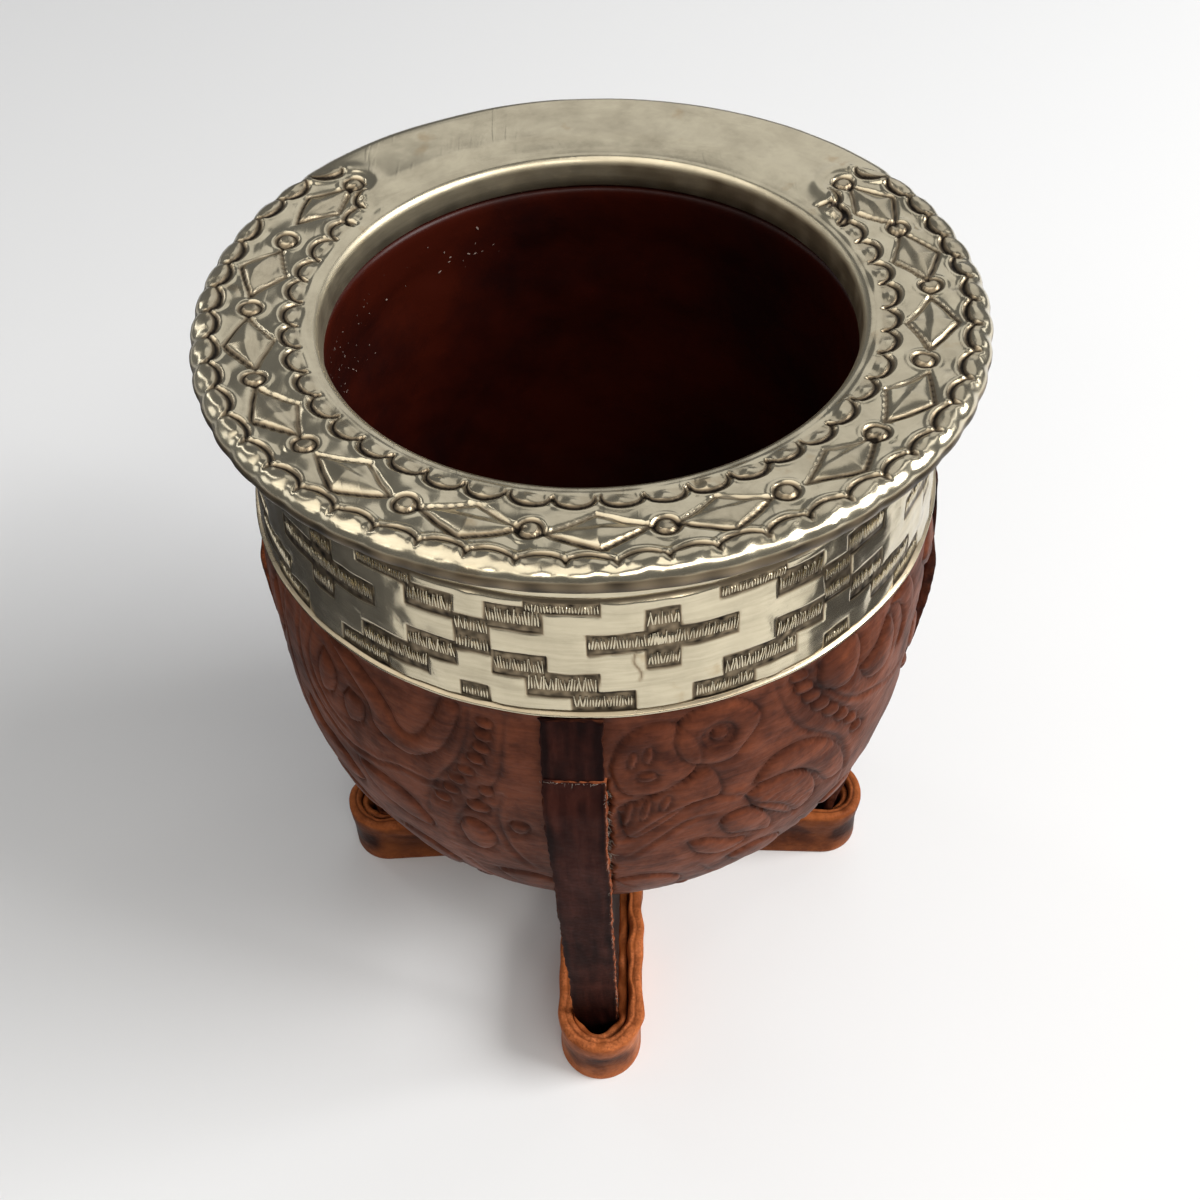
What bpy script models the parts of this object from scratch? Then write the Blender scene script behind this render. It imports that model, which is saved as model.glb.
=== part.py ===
"""Mate gourd cup: a gourd shell in a leather cover, with a metal ferrule on its mouth.

The cup stands on a clover of four leather lobes, and four leather straps run from
under the ferrule down into the toes of the lobes. Metres, +Z up, the cup's axis on Z,
the floor at z = 0, the front lobe towards -Y.
"""
import math

import bmesh
import bpy
from mathutils import Matrix, Vector

MM = 0.001

# Driving dimensions
RIM_RADIUS = 45.5 * MM          # outer edge of the rolled lip
RIM_HEIGHT = 112.8 * MM         # middle of the rolled lip above the floor
LIP_RADIUS = 1.4 * MM           # half thickness of the rolled lip
MOUTH_EDGE_RADIUS = 32.4 * MM   # where the flange turns down into the throat
THROAT_RADIUS = 31.25 * MM      # free radius of the mouth
THROAT_DEPTH = 4.6 * MM         # how far the throat reaches below the lip's middle
FLANGE_DISH = 1.1 * MM          # how much the flange falls from the lip to the mouth
SHEET = 1.2 * MM                # metal of the ferrule
WAIST_RADIUS = 40.05 * MM       # narrowest place under the lip
UNDER_LIP_SPREAD = 0.7 * MM     # wider than the waist where the lip ends
UNDER_LIP_DROP = 2.2 * MM       # drops are below the lip's middle
WAIST_DROP = 3.9 * MM
RING_SPREAD = 0.45 * MM         # wider than the waist where the plain ring starts
RING_DROP = 5.4 * MM
GROOVE_RISE = 0.45 * MM         # height of each side of the groove over the band
GROOVE_DEPTH = 0.4 * MM
RING_STEP = 0.05 * MM           # the ring stands this far inside the band's top
BAND_TOP_RADIUS = 40.75 * MM
BAND_TOP_DROP = 8.0 * MM
BAND_BOTTOM_RADIUS = 42.75 * MM
BAND_BOTTOM_DROP = 22.7 * MM
BEAD_BULGE = 0.5 * MM           # bead under the band, half as high as the skirt's end
BEAD_DROP = 0.45 * MM
SKIRT_FLARE = 0.1 * MM          # the lowest edge over the band's bottom radius
SKIRT_DROP = 23.6 * MM          # lowest edge of the ferrule
BELLY_RADIUS = 44.4 * MM        # widest radius of the leather cover
COVER_THICKNESS = 1.8 * MM
SHELL_THICKNESS = 6.2 * MM      # gourd wall
NECK_CHAMFER = 1.0 * MM         # round of the gourd's rim under the flange
NECK_STEP = 0.6 * MM            # the neck clears the ferrule's wide end by this much more
SHOULDER_RISE = 0.5 * MM        # the belly's outside starts this far under the cover's top
# Inside of the gourd's neck: wider than the mouth by, and how far below the lip's middle
NECK_INSIDE = (
    (2.6 * MM, 16.0 * MM),
    (0.9 * MM, 9.0 * MM),
)
NECK_INSIDE_TOP = 0.3 * MM      # wider than the mouth just under the throat
BELLY_INSIDE_DROP = 8.0 * MM    # the even wall starts this far under the band
FIT_GAP = 0.3 * MM              # air between neighbouring pieces

FOOT_HEIGHT = 11.3 * MM         # the leather strip stands on its edge
FOOT_STRIP = 2.4 * MM           # its thickness
LOBE_HALF_WIDTH = 6.4 * MM      # outside of a lobe
LOBE_FILLET = 6.0 * MM          # outside corner between two lobes
# name, direction in degrees from +X, distance from the axis to the toe
LOBES = (
    ("front", -92.3, 48.0 * MM),
    ("right", -3.5, 45.0 * MM),
    ("back", 88.5, 48.0 * MM),
    ("left", 182.0, 45.0 * MM),
)

STRAP_THICKNESS = 1.5 * MM
STRAP_TOP_WIDTH = 7.2 * MM
STRAP_TOE_WIDTH = 5.8 * MM
STRAP_TOP = 88.5 * MM           # upper end, just under the ferrule
STRAP_FREE = 60.0 * MM          # below this the strap hangs clear of the cover
STRAP_END = 1.8 * MM            # lower end above the floor
STRAP_TOE_INSET = 6.3 * MM      # from the toe's outside to the strap's face
STRAP_TURN_TOP = -2.2           # degrees off its lobe's direction, at the upper end
STRAP_TURN_TOE = -0.7           # and inside the toe

TURN_STEPS = 44                 # facets round the axis
SHORTEST_STEP = 0.2 * MM        # points closer than this to a cut are dropped

# Outside of the leather cover as radius and height: widest point, then the bowl
COVER_TOP = RIM_HEIGHT - SKIRT_DROP - FIT_GAP
COVER_OUTLINE = (
    (42.7 * MM, COVER_TOP),
    (43.9 * MM, 80.0 * MM),
    (BELLY_RADIUS, 64.0 * MM),
    (42.9 * MM, 53.0 * MM),
    (39.3 * MM, 44.0 * MM),
    (34.4 * MM, 34.5 * MM),
    (29.2 * MM, 25.5 * MM),
    (22.2 * MM, 17.6 * MM),
    (12.5 * MM, 12.8 * MM),
    (0.0, FOOT_HEIGHT + FIT_GAP),
)
COVER_POINTS_PER_SPAN = 2


def clear_scene() -> None:
    """Remove every object that the new file came with."""
    for existing in list(bpy.data.objects):
        bpy.data.objects.remove(existing, do_unlink=True)


def make_material(name, colour, roughness, metallic=0.0):
    """Principled material with one colour."""
    material = bpy.data.materials.new(name)
    material.use_nodes = True
    shader = material.node_tree.nodes["Principled BSDF"]
    shader.inputs["Base Color"].default_value = (*colour, 1.0)
    shader.inputs["Roughness"].default_value = roughness
    shader.inputs["Metallic"].default_value = metallic
    material.diffuse_color = (*colour, 1.0)
    return material


def add_object(name, data, material, collection):
    """Put mesh or curve data in the collection under its node's name."""
    piece = bpy.data.objects.new(name, data)
    piece.data.materials.append(material)
    collection.objects.link(piece)
    return piece


def arc(centre_r, centre_z, radius, start_deg, end_deg, segments):
    """Points on an arc in the radius and height plane."""
    points = []
    for index in range(segments + 1):
        angle = math.radians(start_deg + (end_deg - start_deg) * index / segments)
        points.append((centre_r + radius * math.cos(angle), centre_z + radius * math.sin(angle)))
    return points


def smooth_outline(points, per_span):
    """Catmull-Rom curve through the points; the last one is met level, on the axis."""
    first, last = points[0], points[-1]
    before = (2 * first[0] - points[1][0], 2 * first[1] - points[1][1])
    after = (-points[-2][0], points[-2][1])
    chain = [before, *points, after]
    curve = []
    for index in range(1, len(chain) - 2):
        p0, p1, p2, p3 = chain[index - 1:index + 3]
        for step in range(per_span):
            t = step / per_span
            curve.append(tuple(
                0.5 * (2 * b + (c - a) * t + (2 * a - 5 * b + 4 * c - d) * t ** 2
                       + (3 * b - a - 3 * c + d) * t ** 3)
                for a, b, c, d in zip(p0, p1, p2, p3)))
    curve.append(last)
    return curve


def inset_outline(points, distance):
    """Move an outline that runs from its top down to the axis inwards by a distance."""
    moved = []
    for index, (radius, height) in enumerate(points):
        r0, z0 = points[max(index - 1, 0)]
        r1, z1 = points[min(index + 1, len(points) - 1)]
        run, rise = r1 - r0, z1 - z0
        length = math.hypot(run, rise)
        moved.append((radius + rise / length * distance, height - run / length * distance))
    end_height = points[-1][1] + distance
    moved[-1] = (0.0, end_height)
    return moved


def radius_at(points, height):
    """Radius of an outline at a height, for the part above its bowl's foot."""
    for (r0, z0), (r1, z1) in zip(points, points[1:]):
        if z1 <= height <= z0:
            return r0 + (r1 - r0) * (z0 - height) / (z0 - z1)
    return points[0][0]


def cut_below(points, height):
    """The part of a falling outline below a height, starting exactly there."""
    start = (radius_at(points, height), height)
    return [start] + [point for point in points if point[1] < height - SHORTEST_STEP]


def turned(name, profile, closed, material, collection):
    """Turn a profile round Z with a Screw modifier."""
    mesh = bpy.data.meshes.new(name)
    edges = [(index, index + 1) for index in range(len(profile) - 1)]
    if closed:
        edges.append((len(profile) - 1, 0))
    mesh.from_pydata([(radius, 0.0, height) for radius, height in profile], edges, [])
    piece = add_object(name, mesh, material, collection)
    screw = piece.modifiers.new("Turn", "SCREW")
    screw.axis = "Z"
    screw.angle = 2 * math.pi
    screw.steps = TURN_STEPS
    screw.render_steps = TURN_STEPS
    screw.use_merge_vertices = True
    screw.merge_threshold = 0.00001
    screw.use_smooth_shade = True
    return piece


def ferrule_profile():
    """Closed section: up the throat, out over the flange and lip, down the skirt, back inside."""
    edge = MOUTH_EDGE_RADIUS - THROAT_RADIUS
    lip_centre = RIM_RADIUS - LIP_RADIUS
    lip_top = LIP_RADIUS
    flange_inner = lip_top - FLANGE_DISH
    drop = [
        (THROAT_RADIUS, -THROAT_DEPTH),
        *arc(MOUTH_EDGE_RADIUS, flange_inner - edge, edge, 180, 90, 3),
        *arc(lip_centre, 0.0, LIP_RADIUS, 90, -90, 6),
        (WAIST_RADIUS + UNDER_LIP_SPREAD, -UNDER_LIP_DROP),
        (WAIST_RADIUS, -WAIST_DROP),
        (WAIST_RADIUS + RING_SPREAD, -RING_DROP),
        (BAND_TOP_RADIUS - RING_STEP, -BAND_TOP_DROP + 2 * GROOVE_RISE),
        (BAND_TOP_RADIUS - GROOVE_DEPTH, -BAND_TOP_DROP + GROOVE_RISE),
        (BAND_TOP_RADIUS, -BAND_TOP_DROP),
        (BAND_BOTTOM_RADIUS, -BAND_BOTTOM_DROP),
        (BAND_BOTTOM_RADIUS + BEAD_BULGE, -BAND_BOTTOM_DROP - BEAD_DROP),
        (BAND_BOTTOM_RADIUS + SKIRT_FLARE, -SKIRT_DROP),
        (BAND_BOTTOM_RADIUS - SHEET, -SKIRT_DROP),
        (BAND_TOP_RADIUS - SHEET, -BAND_TOP_DROP),
        (WAIST_RADIUS - SHEET, -WAIST_DROP),
        (WAIST_RADIUS - SHEET, flange_inner - SHEET),
        (MOUTH_EDGE_RADIUS, flange_inner - SHEET),
        (THROAT_RADIUS + SHEET, -THROAT_DEPTH),
    ]
    return [(radius, RIM_HEIGHT + height) for radius, height in drop]


def cover_profile(outline):
    """Open chain from the axis, up the inside, over the top edge and down the outside."""
    inside = inset_outline(outline, COVER_THICKNESS)
    inside = cut_below(inside, COVER_TOP)
    return list(reversed(inside)) + outline


def shell_profile(outline):
    """Open chain for the gourd: bare neck inside the ferrule, belly inside the cover."""
    outside = inset_outline(outline, COVER_THICKNESS + FIT_GAP)
    outside = cut_below(outside, COVER_TOP - SHOULDER_RISE)
    inside = inset_outline(outline, COVER_THICKNESS + FIT_GAP + SHELL_THICKNESS)
    inside = cut_below(inside, RIM_HEIGHT - BAND_BOTTOM_DROP - BELLY_INSIDE_DROP)
    throat_outside = THROAT_RADIUS + SHEET + FIT_GAP
    neck_outside = WAIST_RADIUS - SHEET - FIT_GAP
    top = RIM_HEIGHT + LIP_RADIUS - FLANGE_DISH - SHEET - FIT_GAP
    throat_end = RIM_HEIGHT - THROAT_DEPTH - FIT_GAP
    neck_inside = [(THROAT_RADIUS + wider, RIM_HEIGHT - drop) for wider, drop in NECK_INSIDE]
    neck = [
        (THROAT_RADIUS + NECK_INSIDE_TOP, throat_end),
        (throat_outside, throat_end),
        (throat_outside, top - NECK_CHAMFER),
        (throat_outside + NECK_CHAMFER, top),
        (neck_outside - NECK_CHAMFER, top),
        (neck_outside, top - NECK_CHAMFER),
        (neck_outside, RIM_HEIGHT - BAND_TOP_DROP),
        (BAND_BOTTOM_RADIUS - SHEET - FIT_GAP - NECK_STEP, COVER_TOP + FIT_GAP),
    ]
    return list(reversed(inside)) + neck_inside + neck + outside


def lobe_frame(direction_deg):
    """Unit vectors along a lobe and to its left, seen from above."""
    angle = math.radians(direction_deg)
    along = Vector((math.cos(angle), math.sin(angle)))
    return along, Vector((-along.y, along.x))


def clover_outline(inset):
    """Outline of the four lobes, moved in by a distance, with round toes and corners."""
    toe_steps, corner_steps = 10, 5
    points = []
    for index, (_, direction, reach) in enumerate(LOBES):
        along, left = lobe_frame(direction)
        centre = along * (reach - LOBE_HALF_WIDTH)
        radius = LOBE_HALF_WIDTH - inset
        for step in range(toe_steps + 1):
            angle = -math.pi / 2 + math.pi * step / toe_steps
            points.append(centre + radius * (along * math.cos(angle) + left * math.sin(angle)))
        next_along, next_left = lobe_frame(LOBES[(index + 1) % len(LOBES)][1])
        normal_here, normal_next = left, -next_left
        spread = LOBE_HALF_WIDTH + LOBE_FILLET
        middle = (normal_here + normal_next) * spread / (1 + normal_here.dot(normal_next))
        start = math.atan2(-normal_here.y, -normal_here.x)
        end = math.atan2(-normal_next.y, -normal_next.x)
        sweep = (end - start + math.pi) % (2 * math.pi) - math.pi
        for step in range(corner_steps + 1):
            angle = start + sweep * step / corner_steps
            offset = Vector((math.cos(angle), math.sin(angle))) * (LOBE_FILLET + inset)
            points.append(middle + offset)
    return points


def build_foot(material, collection):
    """The clover strip: a flat outline with a hole, raised to its height."""
    curve = bpy.data.curves.new("foot_base", "CURVE")
    curve.dimensions = "2D"
    curve.fill_mode = "BOTH"
    curve.extrude = FOOT_HEIGHT / 2
    for inset in (0.0, FOOT_STRIP):
        outline = clover_outline(inset)
        spline = curve.splines.new("POLY")
        spline.points.add(len(outline) - 1)
        for point, place in zip(spline.points, outline):
            point.co = (place.x, place.y, 0.0, 1.0)
        spline.use_cyclic_u = True
    piece = add_object("foot_base", curve, material, collection)
    piece.location.z = FOOT_HEIGHT / 2
    return piece


def strap_inner_radius(height, reach, outline):
    """Inner face of a strap: on the cover at the top, straight into the toe below."""
    on_cover = radius_at(outline, height) + FIT_GAP
    if height >= STRAP_FREE:
        return on_cover
    start = radius_at(outline, STRAP_FREE) + FIT_GAP
    toe = reach - STRAP_TOE_INSET - STRAP_THICKNESS
    share = (STRAP_FREE - height) / (STRAP_FREE - STRAP_END)
    straight = start + (toe - start) * share
    return max(straight, on_cover) if height > COVER_OUTLINE[-2][1] else straight


def build_strap(name, direction, reach, outline, material, collection):
    """One strap: a flat strip along its path, given its thickness by Solidify."""
    stations, columns = 13, 3
    mesh = bpy.data.meshes.new(name)
    cage = bmesh.new()
    rows = []
    for station in range(stations):
        share = station / (stations - 1)
        height = STRAP_TOP + (STRAP_END - STRAP_TOP) * share
        radius = strap_inner_radius(height, reach, outline)
        width = STRAP_TOP_WIDTH + (STRAP_TOE_WIDTH - STRAP_TOP_WIDTH) * share
        turn = STRAP_TURN_TOP + (STRAP_TURN_TOE - STRAP_TURN_TOP) * share
        across = Vector((-math.sin(math.radians(turn)), math.cos(math.radians(turn)), 0.0))
        out = Vector((math.cos(math.radians(turn)), math.sin(math.radians(turn)), 0.0))
        row = []
        for column in range(columns):
            offset = width * (column / (columns - 1) - 0.5)
            row.append(cage.verts.new(out * radius + across * offset + Vector((0, 0, height))))
        rows.append(row)
    for upper, lower in zip(rows, rows[1:]):
        for column in range(columns - 1):
            cage.faces.new((upper[column], lower[column], lower[column + 1], upper[column + 1]))
    cage.to_mesh(mesh)
    cage.free()
    mesh.transform(Matrix.Rotation(math.radians(direction), 4, "Z"))
    strap = add_object(name, mesh, material, collection)
    solid = strap.modifiers.new("Thickness", "SOLIDIFY")
    solid.thickness = STRAP_THICKNESS
    solid.offset = 1.0
    return strap


def main() -> None:
    """Build every piece of the cup."""
    clear_scene()
    collection = bpy.data.collections.new("mate_gourd_cup")
    bpy.context.scene.collection.children.link(collection)

    nickel_silver = make_material("nickel_silver", (0.52, 0.49, 0.40), 0.28, 1.0)
    gourd = make_material("gourd", (0.055, 0.010, 0.006), 0.45)
    tooled_leather = make_material("tooled_leather", (0.13, 0.050, 0.030), 0.5)
    strap_leather = make_material("strap_leather", (0.060, 0.026, 0.024), 0.55)
    foot_leather = make_material("foot_leather", (0.26, 0.085, 0.040), 0.5)

    outline = smooth_outline(COVER_OUTLINE, COVER_POINTS_PER_SPAN)
    turned("ferrule", ferrule_profile(), True, nickel_silver, collection)
    turned("gourd_shell", shell_profile(outline), False, gourd, collection)
    turned("leather_cover", cover_profile(outline), False, tooled_leather, collection)
    build_foot(foot_leather, collection)
    for name, direction, reach in LOBES:
        build_strap(f"strap_{name}", direction, reach, outline, strap_leather, collection)


main()
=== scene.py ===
"""Mate gourd cup: a gourd in tooled leather with a chased nickel silver ferrule, dressed on its CAD frame."""
from __future__ import annotations

import sys
import logging
import math
from dataclasses import dataclass
from enum import Enum
from typing import Any

import bpy
import numpy as np
from mathutils import Matrix, Vector


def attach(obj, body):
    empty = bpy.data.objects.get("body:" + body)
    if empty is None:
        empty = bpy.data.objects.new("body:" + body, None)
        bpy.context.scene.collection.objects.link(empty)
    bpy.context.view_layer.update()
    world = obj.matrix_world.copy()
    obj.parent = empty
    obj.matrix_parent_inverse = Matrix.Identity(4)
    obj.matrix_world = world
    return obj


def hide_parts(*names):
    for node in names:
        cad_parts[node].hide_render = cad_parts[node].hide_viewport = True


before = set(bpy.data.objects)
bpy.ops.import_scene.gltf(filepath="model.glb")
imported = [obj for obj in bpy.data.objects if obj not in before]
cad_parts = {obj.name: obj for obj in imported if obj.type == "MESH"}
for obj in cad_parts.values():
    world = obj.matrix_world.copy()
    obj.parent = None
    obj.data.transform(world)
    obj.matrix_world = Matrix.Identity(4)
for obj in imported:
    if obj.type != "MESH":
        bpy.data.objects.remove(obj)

MM = 0.001
BODY = "root"
LOG = logging.getLogger("mate_gourd_cup")

Colour = tuple[float, float, float]
Profile = list[tuple[float, float]]


# Small mesh and node helpers

def arc(centre: tuple[float, float], radius: float, start: float, end: float, steps: int) -> Profile:
    """Points on an arc in the radius and height plane.

    Args:
        centre: Radius and height of its middle, mm.
        radius: Its radius, mm.
        start: First angle, degrees.
        end: Last angle, degrees.
        steps: Number of spans.

    Returns:
        Radius and height pairs, mm.
    """
    angles = np.radians(np.linspace(start, end, steps + 1))
    return [(centre[0] + radius * math.cos(a), centre[1] + radius * math.sin(a)) for a in angles]


def smooth_line(points: Profile, per_span: int, level_end: bool = False) -> np.ndarray:
    """Catmull-Rom curve through points.

    Args:
        points: Points to pass through.
        per_span: Steps between neighbours.
        level_end: True where the last point is met level, on the axis.

    Returns:
        An array of points.
    """
    before = tuple(2 * a - b for a, b in zip(points[0], points[1]))
    after = (-points[-2][0], points[-2][1]) if level_end else tuple(2 * a - b for a, b in zip(points[-1], points[-2]))
    chain = np.array([before, *points, after], float)
    steps = np.arange(per_span)[:, None] / per_span
    spans = []
    for index in range(1, len(chain) - 2):
        p0, p1, p2, p3 = chain[index - 1:index + 3]
        spans.append(0.5 * (2 * p1 + (p2 - p0) * steps + (2 * p0 - 5 * p1 + 4 * p2 - p3) * steps ** 2
                            + (3 * p1 - p0 - 3 * p2 + p3) * steps ** 3))
    return np.concatenate([*spans, chain[-2:-1]])


def even_steps(line: np.ndarray, count: int) -> np.ndarray:
    """The same line with its points spread evenly along it."""
    length = np.concatenate([[0.0], np.cumsum(np.linalg.norm(np.diff(line, axis=0), axis=1))])
    places = np.linspace(0.0, length[-1], count)
    return np.stack([np.interp(places, length, line[:, axis]) for axis in range(line.shape[1])], axis=-1)


def ripple(points: np.ndarray, size: float, seed: int, waves: int = 10) -> np.ndarray:
    """Soft irregular waves over points in space, about -1 to 1.

    Args:
        points: Places, mm, with three numbers each.
        size: Usual length of a wave, mm.
        seed: Number that fixes the pattern.
        waves: How many waves are laid over each other.

    Returns:
        One value for each place.
    """
    rng = np.random.default_rng(seed)
    total = np.zeros(points.shape[:-1])
    for _ in range(waves):
        direction = rng.normal(size=3)
        direction /= np.linalg.norm(direction)
        pull = 2 * math.pi / (size * rng.uniform(0.65, 1.6))
        total += np.sin(points @ direction * pull + rng.uniform(0.0, 2 * math.pi))
    return total / math.sqrt(waves)


def notch(distance: np.ndarray, width: float | np.ndarray) -> np.ndarray:
    """Section of a cut line: 1 in its middle and 0 from its width outwards."""
    return np.clip(1.0 - np.abs(distance) / width, 0.0, 1.0) ** 1.4


def ease(value: np.ndarray | float, start: float, end: float) -> np.ndarray:
    """Smooth step from 0 at start to 1 at end."""
    share = np.clip((np.asarray(value, float) - start) / (end - start), 0.0, 1.0)
    return share * share * (3.0 - 2.0 * share)


def round_places(azimuth: np.ndarray, radius: np.ndarray, height: np.ndarray) -> np.ndarray:
    """Points in space from azimuth in degrees, radius and height."""
    turn = np.radians(azimuth)
    return np.stack(np.broadcast_arrays(radius * np.cos(turn), radius * np.sin(turn), height), axis=-1)


def new_mesh(name: str, places: np.ndarray, faces: np.ndarray,
             marks: dict[str, np.ndarray] | None = None) -> bpy.types.Object:
    """Object of smooth quads.

    Args:
        name: The piece's name.
        places: Points in mm.
        faces: Four point numbers for each face.
        marks: Values stored on the points, by name.

    Returns:
        The object, linked to the scene.
    """
    mesh = bpy.data.meshes.new(name)
    mesh.vertices.add(len(places))
    mesh.vertices.foreach_set("co", (places * MM).astype(np.float32).ravel())
    mesh.loops.add(faces.size)
    mesh.loops.foreach_set("vertex_index", faces.astype(np.int32).ravel())
    mesh.polygons.add(len(faces))
    mesh.polygons.foreach_set("loop_start", np.arange(0, faces.size, 4, dtype=np.int32))
    mesh.polygons.foreach_set("use_smooth", np.ones(len(faces), bool))
    mesh.update(calc_edges=True)
    for label, values in (marks or {}).items():
        layer = mesh.attributes.new(label, "FLOAT", "POINT")
        layer.data.foreach_set("value", values.astype(np.float32).ravel())
    piece = bpy.data.objects.new(name, mesh)
    bpy.context.scene.collection.objects.link(piece)
    return piece


def skin(name: str, places: np.ndarray, wraps: bool, marks: dict[str, np.ndarray] | None = None,
         pole: bool = False) -> bpy.types.Object:
    """Skin over a grid of points; rows that run down the outside face outwards.

    Args:
        name: The piece's name.
        places: Rows and columns of points, mm.
        wraps: True where the last column joins the first.
        marks: Values on the points, by name.
        pole: True where the last row is one point.

    Returns:
        The object.
    """
    rows, columns = places.shape[:2]
    index = np.arange(rows * columns).reshape(rows, columns)
    if pole:
        index[-1] = index[-1, 0]
    if wraps:
        index = np.concatenate([index, index[:, :1]], axis=1)
    faces = np.stack([index[:-1, :-1], index[1:, :-1], index[1:, 1:], index[:-1, 1:]], axis=-1).reshape(-1, 4)
    piece = new_mesh(name, places.reshape(-1, 3), faces, marks)
    piece.data.validate(clean_customdata=False)
    return piece


def add_node(tree: bpy.types.NodeTree, kind: str, values: dict[Any, Any] | None = None,
             **settings: Any) -> bpy.types.Node:
    """Node with its options set and its inputs given or linked.

    Args:
        tree: The tree that it goes into.
        kind: The node's type.
        values: A number, colour or output for each input.
        **settings: The node's own options.

    Returns:
        The node.
    """
    node = tree.nodes.new(kind)
    for label, setting in settings.items():
        setattr(node, label, setting)
    for key, value in (values or {}).items():
        if isinstance(value, bpy.types.NodeSocket):
            tree.links.new(value, node.inputs[key])
        else:
            node.inputs[key].default_value = value
    return node


def maths(tree: bpy.types.NodeTree, operation: str, first: Any, second: Any = 0.0, clamp: bool = False) -> Any:
    """Output of a Math node."""
    return add_node(tree, "ShaderNodeMath", {0: first, 1: second}, operation=operation, use_clamp=clamp).outputs[0]


def blend_colour(tree: bpy.types.NodeTree, share: Any, first: Any, second: Any) -> Any:
    """Output of a colour mix from first to second."""
    pair = [(*value, 1.0) if isinstance(value, tuple) and len(value) == 3 else value for value in (first, second)]
    return add_node(tree, "ShaderNodeMix", {0: share, 6: pair[0], 7: pair[1]}, data_type="RGBA").outputs[2]


def spread(tree: bpy.types.NodeTree, value: Any, low: float, high: float, to_low: Any = 0.0, to_high: Any = 1.0) -> Any:
    """Output of a clamped Map Range node."""
    return add_node(tree, "ShaderNodeMapRange", {0: value, 1: low, 2: high, 3: to_low, 4: to_high}).outputs[0]


def mark_value(tree: bpy.types.NodeTree, label: str) -> Any:
    """Output of a value stored on the points."""
    return add_node(tree, "ShaderNodeAttribute", attribute_name=label).outputs["Fac"]


def own_place(tree: bpy.types.NodeTree) -> Any:
    """Output of the Object coordinates."""
    return add_node(tree, "ShaderNodeTexCoord").outputs["Object"]


def noise(tree: bpy.types.NodeTree, where: Any, scale: Any, **shape: float) -> Any:
    """Output of a Noise texture, with its other inputs given by name."""
    return add_node(tree, "ShaderNodeTexNoise", {"Vector": where, "Scale": scale, **shape}).outputs[0]


def open_group(name: str, inputs: dict[str, float], outputs: tuple[str, ...]) -> tuple[Any, Any, Any]:
    """Empty shader group with named sockets, all of them numbers.

    Args:
        name: The group's name.
        inputs: Inputs and their usual values.
        outputs: Names of the outputs.

    Returns:
        The group, its input node and its output node.
    """
    group = bpy.data.node_groups.new(name, "ShaderNodeTree")
    for label, usual in inputs.items():
        group.interface.new_socket(label, in_out="INPUT", socket_type="NodeSocketFloat").default_value = usual
    for label in outputs:
        group.interface.new_socket(label, in_out="OUTPUT", socket_type="NodeSocketFloat")
    return group, group.nodes.new("NodeGroupInput"), group.nodes.new("NodeGroupOutput")


def grain_group() -> bpy.types.NodeTree:
    """Leather grain: pebbles, creases, wiped streaks and a slow change of shade."""
    group, given, result = open_group("leather_grain", {"Scale": 900.0, "Crease": 0.4, "Level": 0.35, "Upright": 1.6},
                                      ("Height", "Shade", "Streak"))
    where, scale, level = own_place(group), given.outputs["Scale"], given.outputs["Level"]
    pebbles = add_node(group, "ShaderNodeTexVoronoi", {"Vector": where, "Scale": scale}, feature="SMOOTH_F1")
    crease = noise(group, where, maths(group, "MULTIPLY", scale, 0.22), Detail=6.0, Roughness=0.65)
    patches = noise(group, where, maths(group, "MULTIPLY", scale, 0.09), Detail=3.0)
    stretch = add_node(group, "ShaderNodeCombineXYZ", {0: level, 1: level, 2: given.outputs["Upright"]}).outputs[0]
    flow = add_node(group, "ShaderNodeVectorMath", {0: where, 1: stretch}, operation="MULTIPLY").outputs[0]
    wiped = noise(group, flow, maths(group, "MULTIPLY", scale, 0.5), Detail=4.0, Roughness=0.6, Distortion=0.6)
    bumps = maths(group, "SUBTRACT", 1.0, pebbles.outputs["Distance"])
    folds = maths(group, "MULTIPLY", crease, given.outputs["Crease"])
    group.links.new(maths(group, "ADD", bumps, folds), result.inputs["Height"])
    group.links.new(maths(group, "MULTIPLY", patches, crease), result.inputs["Shade"])
    group.links.new(wiped, result.inputs["Streak"])
    return group


def wear_group() -> bpy.types.NodeTree:
    """Handling wear: soft blotches and thin scratches that run every way."""
    group, given, result = open_group("handling_wear", {"Blotch Scale": 120.0, "Scratch Scale": 700.0},
                                      ("Blotch", "Scratch"))
    where = own_place(group)
    blotch = noise(group, where, given.outputs["Blotch Scale"], Detail=5.0, Roughness=0.6)
    group.links.new(spread(group, blotch, 0.38, 0.68), result.inputs["Blotch"])
    strongest: Any = 0.0
    for turn in ((0.3, 0.2, 0.5), (1.1, -0.6, 1.9), (-0.8, 0.9, -1.1)):
        leaning = add_node(group, "ShaderNodeMapping", {"Vector": where, "Rotation": turn, "Scale": (1.0, 0.06, 1.0)})
        streaks = noise(group, leaning.outputs[0], given.outputs["Scratch Scale"], Detail=1.0)
        strongest = maths(group, "MAXIMUM", spread(group, streaks, 0.66, 0.74), strongest)
    group.links.new(strongest, result.inputs["Scratch"])
    return group


# Finishes

class Mark(Enum):
    """Values that the meshes store for their finishes."""

    SOIL_AND_SHADE = "soil_and_shade"
    DYE_AND_SHADE = "dye_and_shade"
    RAW = "raw"
    SATIN = "satin"


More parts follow.
